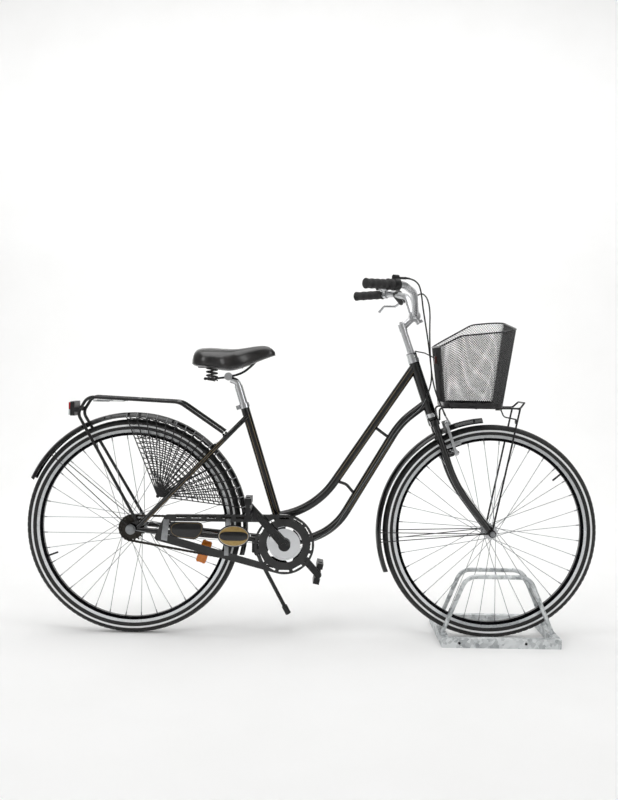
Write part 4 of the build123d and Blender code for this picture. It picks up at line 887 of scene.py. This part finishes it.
def saddleStation(v):
    # smooth passage through the stations
    rows = saddleLook["stations"]
    place = v * (len(rows) - 1)
    i = min(int(place), len(rows) - 2)
    t = place - i
    picked = [rows[max(0, min(len(rows) - 1, k))] for k in (i - 1, i, i + 1, i + 2)]
    values = []
    for a, b, c, d in zip(*picked):
        values.append(0.5 * (2 * b + (c - a) * t + (2 * a - 5 * b + 4 * c - d) * t * t
                             + (3 * b - a - 3 * c + d) * t ** 3))
    return [value / 1000 for value in values]


def saddlePoint(u, v):
    x, half, edge, top = saddleStation(v)
    turn = 2 * math.pi * u - math.pi / 2
    side, rise = math.cos(turn), math.sin(turn)
    middle = edge + 0.32 * (top - edge)
    y = math.copysign(half * abs(side) ** (0.62 if rise > 0 else 0.42), side)
    if rise > 0:
        z = middle + (top - middle) * rise ** 0.92
    else:
        z = middle - (middle - edge) * abs(rise) ** 0.55
    return Vector((x, y, z))


def makeSaddle():
    look = saddleLook
    cover = closeEnds(gridPiece(look["around"], look["along"], saddlePoint))
    applyModifier(cover, "SMOOTH", factor=0.5, iterations=2)
    applyModifier(cover, "SUBSURF", levels=1, render_levels=1)
    present(cover, "saddleCover", "saddle", paint["saddleVinyl"], "saddle_cover", "saddle", angle=60)
    edge = []
    for side in (1, -1):
        for i in range(40):
            x, half, low, top = saddleStation((i if side > 0 else 39 - i) / 39)
            edge.append((x, side * half * 0.985, low + 0.12 * (top - low)))
    piping = bentWire([edge], look["piping"], closed=True)
    present(piping, "saddlePiping", "saddle", paint["glossBlackPlastic"], "saddle_cover")
    base = gridPiece(36, 2, lambda u, v: basePoint(u, v))
    base = closeEnds(base)
    present(base, "saddleBase", "saddle", paint["mouldedBlackPlastic"], "black_plastic")


def basePoint(u, v):
    # moulded tray that closes the cover from below
    turn = 2 * math.pi * u
    x = -0.885 + 0.073 * math.cos(turn)
    half = 0.074 * abs(math.sin(turn)) ** 0.8 * (1 - 0.25 * math.cos(turn))
    return Vector((x, math.copysign(half, math.sin(turn)), 0.8683 + 0.0065 * v))


def makeSaddleFrame():
    look = saddleLook
    rails = []
    for side in (1, -1):
        points = [(-925, 22, 834), (-905, 22, 835), (-885, 22, 836), (-860, 22, 840.5), (-835, 22, 846),
            (-812, 20, 855),
                  (-790, 13, 872), (-769, 6, 893)]
        rails.append(bentWire([[mm(x, side * y, z) for x, y, z in points]], look["railRadius"], finer=8))
        rails.append(roundBar(mm(-929, side * 40, 834), mm(-929, side * 64, 834), 0.0048, 16, 0.0008))
    rails.append(roundBar(mm(-925, -63, 834), mm(-925, 63, 834), look["railRadius"], 20, 0.0008))
    present(joinAll(rails, "rails"), "saddleRails", "saddle", paint["satinBlackCoat"], "black_steel",
        "saddle_frame")
    springs = []
    for side in (1, -1):
        points = []
        count = round(look["turns"] * 12)
        for i in range(count + 1):
            turn = math.radians(30 * i) * side
            z = 0.8275 + 0.0405 * i / count
            points.append((-0.913 + look["coil"] * math.cos(turn),
                side * 0.050 + look["coil"] * math.sin(turn), z))
        springs.append(bentWire([points], look["wire"], finer=4))
        springs.append(roundBar((-0.913, side * 0.050, 0.8665), (-0.913, side * 0.050, 0.8695), 0.0165, 28,
            0.0006))
    present(joinAll(springs, "springs"), "saddleSprings", "saddle", paint["satinBlackCoat"], "black_steel")


makeSaddle()
makeSaddleFrame()
print("saddle covered")


# skirt nets: cords from a hook near the hub to the fender's edge, tied across, drawn stout so that they show
netLook = {
    "apex": (-1.080, -0.038, 0.452), "from": 11, "to": 94, "edge": 0.357, "low": 0.130, "inY": 0.038,
        "outY": 0.0262,
    "spokes": 17, "rings": 13, "cord": 0.0019, "hooked": 0.372, "fenderCurve": 0.02753,
}


def netPoint(share, reach):
    # share along the fender, reach from the hook (0) to the fender's edge (1)
    look = netLook
    angle = math.radians(look["from"] + (look["to"] - look["from"]) * share)
    edge = rearHub + Vector((look["edge"] * math.cos(angle), 0, look["edge"] * math.sin(angle)))
    apex = Vector(look["apex"])
    apex.y = 0
    place = apex + (edge - apex) * reach
    away = math.hypot(place.x - rearHub.x, place.z - rearHub.z)
    slope = (away - look["low"]) / (look["edge"] - look["low"])
    place.y = -(look["inY"] + (look["outY"] - look["inY"]) * slope) - 0.0006
    return place


def overFender(share, turn):
    look = netLook
    angle = math.radians(look["from"] + (look["to"] - look["from"]) * share)
    centre = look["hooked"] - look["fenderCurve"]
    size = look["fenderCurve"] + look["cord"] * 0.7
    reach = centre + size * math.cos(math.radians(turn))
    return rearHub + Vector((reach * math.cos(angle), -size * math.sin(math.radians(turn)),
        reach * math.sin(angle)))


def makeNet():
    look = netLook
    shares = [i / (look["spokes"] - 1) for i in range(look["spokes"])]
    strands = []
    for share in shares:
        strands.append([netPoint(share, reach) for reach in (0.02, 0.35, 0.7, 1.0)])
    for k in range(1, look["rings"] + 1):
        reach = 0.14 + 0.84 * (k / look["rings"]) ** 0.92
        strand = []
        for a, b in zip(shares, shares[1:]):
            strand += [netPoint(a, reach), netPoint((a + b) / 2, reach - 0.012)]
        strands.append(strand + [netPoint(1, reach)])
    net = bentWire(strands[:look["spokes"]], look["cord"], smooth=False, sides=1)
    cross = bentWire(strands[look["spokes"]:], look["cord"], smooth=False, sides=1)
    knots = []
    hook = roundBar(Vector(look["apex"]) + mm(0, 4, 0), Vector(look["apex"]) - mm(0, 3.5, 0), 0.0055, 18,
        0.0012)
    knots.append(hook)
    return joinAll([net, cross, *knots], "net"), shares


def makeNets():
    net, shares = makeNet()
    other = mirrored(net)
    present(net, "skirtNetRight", "frame", paint["netCord"], "net", "skirt_guards")
    present(other, "skirtNetLeft", "frame", paint["netCord"], "net")
    # the loops over the fender take the grey finish, a painted highlight on the black cord
    loops = bentWire([[overFender(share, turn) for turn in (64, 52, 40, 28)] for share in shares],
        netLook["cord"] * 0.9,
                     smooth=False, sides=1)
    pair = mirrored(loops)
    present(joinAll([loops, pair], "loops"), "skirtNetLoops", "frame", paint["netCordPaintedHighlight"], "net")


makeNets()
print("nets tied")


# roller chain
chainLook = {
    "pitch": 0.0127, "links": 108, "ring": 40, "sprocket": 20, "line": -0.0465, "plate": 0.0041,
        "waist": 0.0028,
    "sheet": 0.0011, "innerY": 0.0029, "roller": 0.0039, "pin": 0.0052,
}


def chainPath():
    # every roller's place, counted from where the top run meets the chainring
    look = chainLook
    ringRadius, smallRadius = (look["pitch"] / (2 * math.sin(math.pi / look[key]))
                               for key in ("ring", "sprocket"))
    ahead = Vector((crankCentre.x - rearHub.x, crankCentre.z - rearHub.z))
    slope, wrap = math.atan2(ahead.y, ahead.x), math.asin((ringRadius - smallRadius) / ahead.length)
    run = math.sqrt(ahead.length ** 2 - (ringRadius - smallRadius) ** 2) / look["pitch"]
    onRing = (math.pi + 2 * wrap) / (2 * math.pi) * look["ring"]
    onSmall = (math.pi - 2 * wrap) / (2 * math.pi) * look["sprocket"]
    high, low = slope + math.pi / 2 + wrap, slope - math.pi / 2 - wrap
    total = onRing + 2 * run + onSmall

    def at(centre, radius, turn):
        return Vector((centre.x + radius * math.cos(turn), look["line"], centre.z + radius * math.sin(turn)))

    places = []
    for i in range(look["links"]):
        place = i * total / look["links"]
        if place < onRing:
            places.append(at(crankCentre, ringRadius, high - 2 * math.pi * place / look["ring"]))
        elif place < onRing + run:
            share = (place - onRing) / run
            places.append(at(crankCentre, ringRadius, low).lerp(at(rearHub, smallRadius, low), share))
        elif place < onRing + run + onSmall:
            places.append(at(rearHub, smallRadius,
                low - 2 * math.pi * (place - onRing - run) / look["sprocket"]))
        else:
            share = (place - onRing - run - onSmall) / run
            places.append(at(rearHub, smallRadius, high).lerp(at(crankCentre, ringRadius, high), share))
    return places


def linkOutline():
    look = chainLook
    half, aroundTube = look["pitch"] / 2, look["plate"]
    outline = []
    for side in (1, -1):
        for turn in (-60, -30, 0, 30, 60):
            angle = math.radians(turn + (0 if side > 0 else 180))
            outline.append((side * half + aroundTube * math.cos(angle), aroundTube * math.sin(angle)))
        outline.append((0, side * look["waist"]))
    return outline


def makeLink(y, pinReach, rollers):
    look = chainLook
    pieces = []
    for side in (1, -1):
        low, high = sorted((side * y, side * (y + look["sheet"])))
        pieces.append(cutPlate(linkOutline(), low, high))
    for end in (-1, 1):
        centre = Vector((end * look["pitch"] / 2, 0, 0))
        radius = look["roller"] if rollers else 0.0018
        reach = Vector((0, pinReach, 0))
        pieces.append(roundBar(centre - reach, centre + reach, radius, 10))
    return joinAll(pieces, "link")


def makeChain():
    look = chainLook
    inner = makeLink(look["innerY"] - look["sheet"], look["innerY"] - look["sheet"], True)
    outer = makeLink(look["innerY"], look["pin"], False)
    places = chainPath()
    links = []
    for i, (here, there) in enumerate(zip(places, places[1:] + places[:1])):
        way = there - here
        turn = Matrix.Rotation(-math.atan2(way.z, way.x), 4, "Y")
        links.append(copyTo(outer if i % 2 else inner, Matrix.Translation((here + there) / 2) @ turn))
    for link in (inner, outer):
        bpy.data.objects.remove(link)
    present(joinAll(links, "chain"), "rollerChain", "frame", paint["oiledSteel"], "steel", "chain")


makeChain()
print("chain linked")


# grips, twist sleeve
gripLook = {
    "end": (-0.434, 0.294, 1.128), "bend": (-0.312, 0.203, 1.132), "radius": 0.0160,
        "ribs": 0.0006,
    "left": 0.112, "right": 0.086, "sleeve": 0.020, "gap": 0.0003,
}


def gripPiece(start, stop, profile, side):
    # turned rubber sleeve round the end of the handlebar, from a profile of radii
    end, bend = Vector(gripLook["end"]), Vector(gripLook["bend"])
    way = (bend - end).normalized()
    turn = Vector((0, 0, 1)).rotation_difference(way).to_matrix()

    def place(u, v):
        spot = start + (stop - start) * v
        radius = profile(v, 2 * math.pi * u)
        local = Vector((radius * math.cos(2 * math.pi * u), radius * math.sin(2 * math.pi * u), spot))
        world = end + turn @ local
        return Vector((world.x, world.y * side, world.z))

    return closeEnds(gridPiece(64, 96, place))


def gripProfile(v, turn):
    # rounded end bead, finger swells and fine lengthwise ribs
    look = gripLook
    radius = look["radius"] - 0.0012
    if v < 0.03:
        return (radius + 0.0012) * math.sqrt(max(0.05, 1 - ((0.03 - v) / 0.032) ** 2))
    if v < 0.07 or v > 0.95:
        return radius + 0.0012
    ribs = look["ribs"] * (0.5 + 0.5 * math.cos(turn * 32))
    return radius - 0.0006 + ribs + 0.0006 * math.sin(v * 26)


def sleeveProfile(v, turn):
    bead = 0.0008 if v < 0.12 or v > 0.88 else 0.0
    return 0.0163 + bead + 0.0009 * (0.5 + 0.5 * math.cos(turn * 20))


def makeGrips():
    look = gripLook
    left = gripPiece(-0.004, look["left"], gripProfile, 1)
    present(left, "leftGrip", "front_fork", paint["gripRubber"], "black_rubber", "left_grip")
    right = gripPiece(-0.004, look["right"], gripProfile, -1)
    present(right, "rightGrip", "front_fork", paint["gripRubber"], "black_rubber", "right_grip")
    start = look["right"] + look["gap"]
    sleeve = gripPiece(start, start + look["sleeve"], sleeveProfile, -1)
    present(sleeve, "twistSleeve", "gear_twist", paint["gripRubber"], "black_rubber", "shifter_sleeve")


makeGrips()
print("grips pushed on")


# chain guard fittings: strap, tongue, oval badge without lettering, clips
guardLook = {"face": -0.0665, "badge": (-0.831, 0.331), "halves": (0.0515, 0.036)}


def shrunk(outline, inset):
    # outline with every point moved towards its middle
    middle = Vector((sum(x for x, _ in outline), sum(z for _, z in outline))) / len(outline)
    moved = []
    for x, z in outline:
        away = Vector((x, z)) - middle
        moved.append(tuple(middle + away * (1 - inset / away.length)))
    return moved


def makeGuardTrim():
    face = guardLook["face"]
    strap = cutPlate([(-1.056, 0.382), (-1.038, 0.382), (-1.044, 0.312), (-1.064, 0.316)], face - 0.0031,
        face - 0.0016, 0.0004)
    screws = [roundBar((-1.050, face - 0.0046, z), (-1.050, face - 0.003, z), 0.004, 18,
        0.0005) for z in (0.370, 0.325)]
    present(joinAll([strap, *screws], "strap"), "guardStrap", "frame", paint["zincPlate"], "steel",
        "chain_guard_trim")
    rounded = [(-1.036, 0.374), (-0.945, 0.374), (-0.936, 0.371), (-0.930, 0.364), (-0.929, 0.355),
        (-0.932, 0.342), (-0.939, 0.331),
               (-0.948, 0.322), (-0.958, 0.317), (-1.036, 0.326)]
    tongue = cutPlate(rounded, face + 0.0002, face + 0.0017, 0.0003)
    present(tongue, "guardTongue", "frame", paint["glossBlackPlastic"], "black_gloss_plastic")
    border = bentWire([[(x, face + 0.0002, z) for x, z in shrunk(rounded, 0.004)]], 0.0005, closed=True)
    present(border, "guardTongueLine", "frame", paint["goldLine"], "black_gloss_plastic")
    centre, (halfX, halfZ) = guardLook["badge"], guardLook["halves"]
    layers = (
        ("badgeRim", halfX, halfZ, 0.0019, 0.0035, "glossBlackPlastic"),
        ("badgeLine", halfX - 0.0035, halfZ - 0.0035, 0.0030, 0.0039, "satinAluminium"),
        ("badgeField", halfX - 0.0047, halfZ - 0.0047, 0.0030, 0.0041, "goldLeaf"),
    )
    for name, wide, tall, low, high, finish in layers:
        layer = cutPlate(ovalOutline(centre, wide, tall), face - high, face - low, 0.0003)
        present(layer, name, "frame", paint[finish], "black_gloss_plastic")
    for name, grow, high, finish in (("badgeBannerEdge", 0.0012, 0.0045, "goldLine"),
        ("badgeBanner", 0.0, 0.0048, "glossBlackPlastic")):
        outline = []
        for i in range(48):
            turn = 2 * math.pi * i / 48
            x = (halfX - 0.0065 + grow) * math.copysign(abs(math.cos(turn)) ** 0.55, math.cos(turn))
            z = (0.0145 + grow) * math.copysign(abs(math.sin(turn)) ** 0.75, math.sin(turn))
            outline.append((centre[0] + x, centre[1] + z))
        present(cutPlate(outline, face - high, face - 0.0038, 0.0002), name, "frame", paint[finish],
            "black_gloss_plastic")
    clips = []
    for x, low, high in ((-0.849, 0.360, 0.386), (-0.854, 0.268, 0.301)):
        outline = [(x - 0.007, low), (x + 0.007, low), (x + 0.007, high), (x - 0.007, high)]
        clips.append(cutPlate(outline, face - 0.00185, face - 0.0015, 0.0001))
    present(joinAll(clips, "clips"), "badgeClips", "frame", paint["zincPlate"], "steel")


makeGuardTrim()
print("guard trimmed")


# luggage clip springs, tail light lens
rackLook = {"side": 0.033, "low": 0.7577, "from": -1.2925, "to": -1.240, "coil": 0.0032, "wire": 0.0008,
    "turns": 17}


def makeClipSprings():
    look = rackLook
    springs = []
    for side in (1, -1):
        count = look["turns"] * 8
        points = []
        for i in range(count + 1):
            turn = math.radians(45 * i)
            x = look["from"] + (look["to"] - look["from"]) * i / count
            points.append((x, side * look["side"] + look["coil"] * math.cos(turn),
                look["low"] + look["coil"] * math.sin(turn)))
        points += [(look["to"] + 0.003, side * look["side"], look["low"] - 0.001),
            (-1.215, side * look["side"], 0.7565),
                   (-1.1915, side * look["side"], 0.7556)]
        springs.append(bentWire([points], look["wire"], finer=2, sides=2))
    present(joinAll(springs, "springs"), "clipSprings", "frame", paint["zincPlate"], "steel",
        "rack_clip_springs")


def makeTailLens():
    lens = block((-1.3698, -0.0405, 0.7295), (-1.3638, 0.0405, 0.7515), 0.0016)
    present(lens, "tailLensRed", "frame", paint["redLens"], "lamp")
    clear = block((-1.3698, -0.0405, 0.7105), (-1.3638, 0.0405, 0.7290), 0.0016)
    present(clear, "tailLensClear", "frame", paint["clearLens"], "lamp")


makeClipSprings()
makeTailLens()
print("rack fitted")


# gold lining on the straight parts of the tubes
liningLook = {"proud": 0.0004, "radius": 0.0005}


def liningLine(start, end, tube, turn):
    # fine line on the side of a straight tube, turned round it from the side that faces right
    start, end = mm(*start), mm(*end)
    way = (end - start).normalized()
    side = Vector((0, -1, 0))
    out = (side - way * side.dot(way)).normalized()
    out = Matrix.Rotation(math.radians(turn), 3, way) @ out
    reach = out * (tube / 1000 + liningLook["proud"] - liningLook["radius"])
    return roundBar(start + reach, end + reach, liningLook["radius"], 8, 0.0002)


def makeLining():
    lines = []
    tubes = (
        ((-682, 0, 350), (-797, 0, 718), 14.3, (28, -28)),
        ((-262, 0, 872), (-500, 0, 517), 14.3, (30, -30)),
        ((-330, 0, 644), (-465, 0, 415), 14.3, (30, -30)),
        ((-870, -41.8, 638), (-1120, -59.9, 372), 8.0, (25, -25)),
    )
    for start, end, tube, turns in tubes:
        for turn in turns:
            lines.append(liningLine(start, end, tube, turn))
    pair = [mirrored(line) for line in lines]
    present(joinAll(lines + pair, "lining"), "goldLining", "frame", paint["goldLine"], "black_enamel")


makeLining()
print("lined")
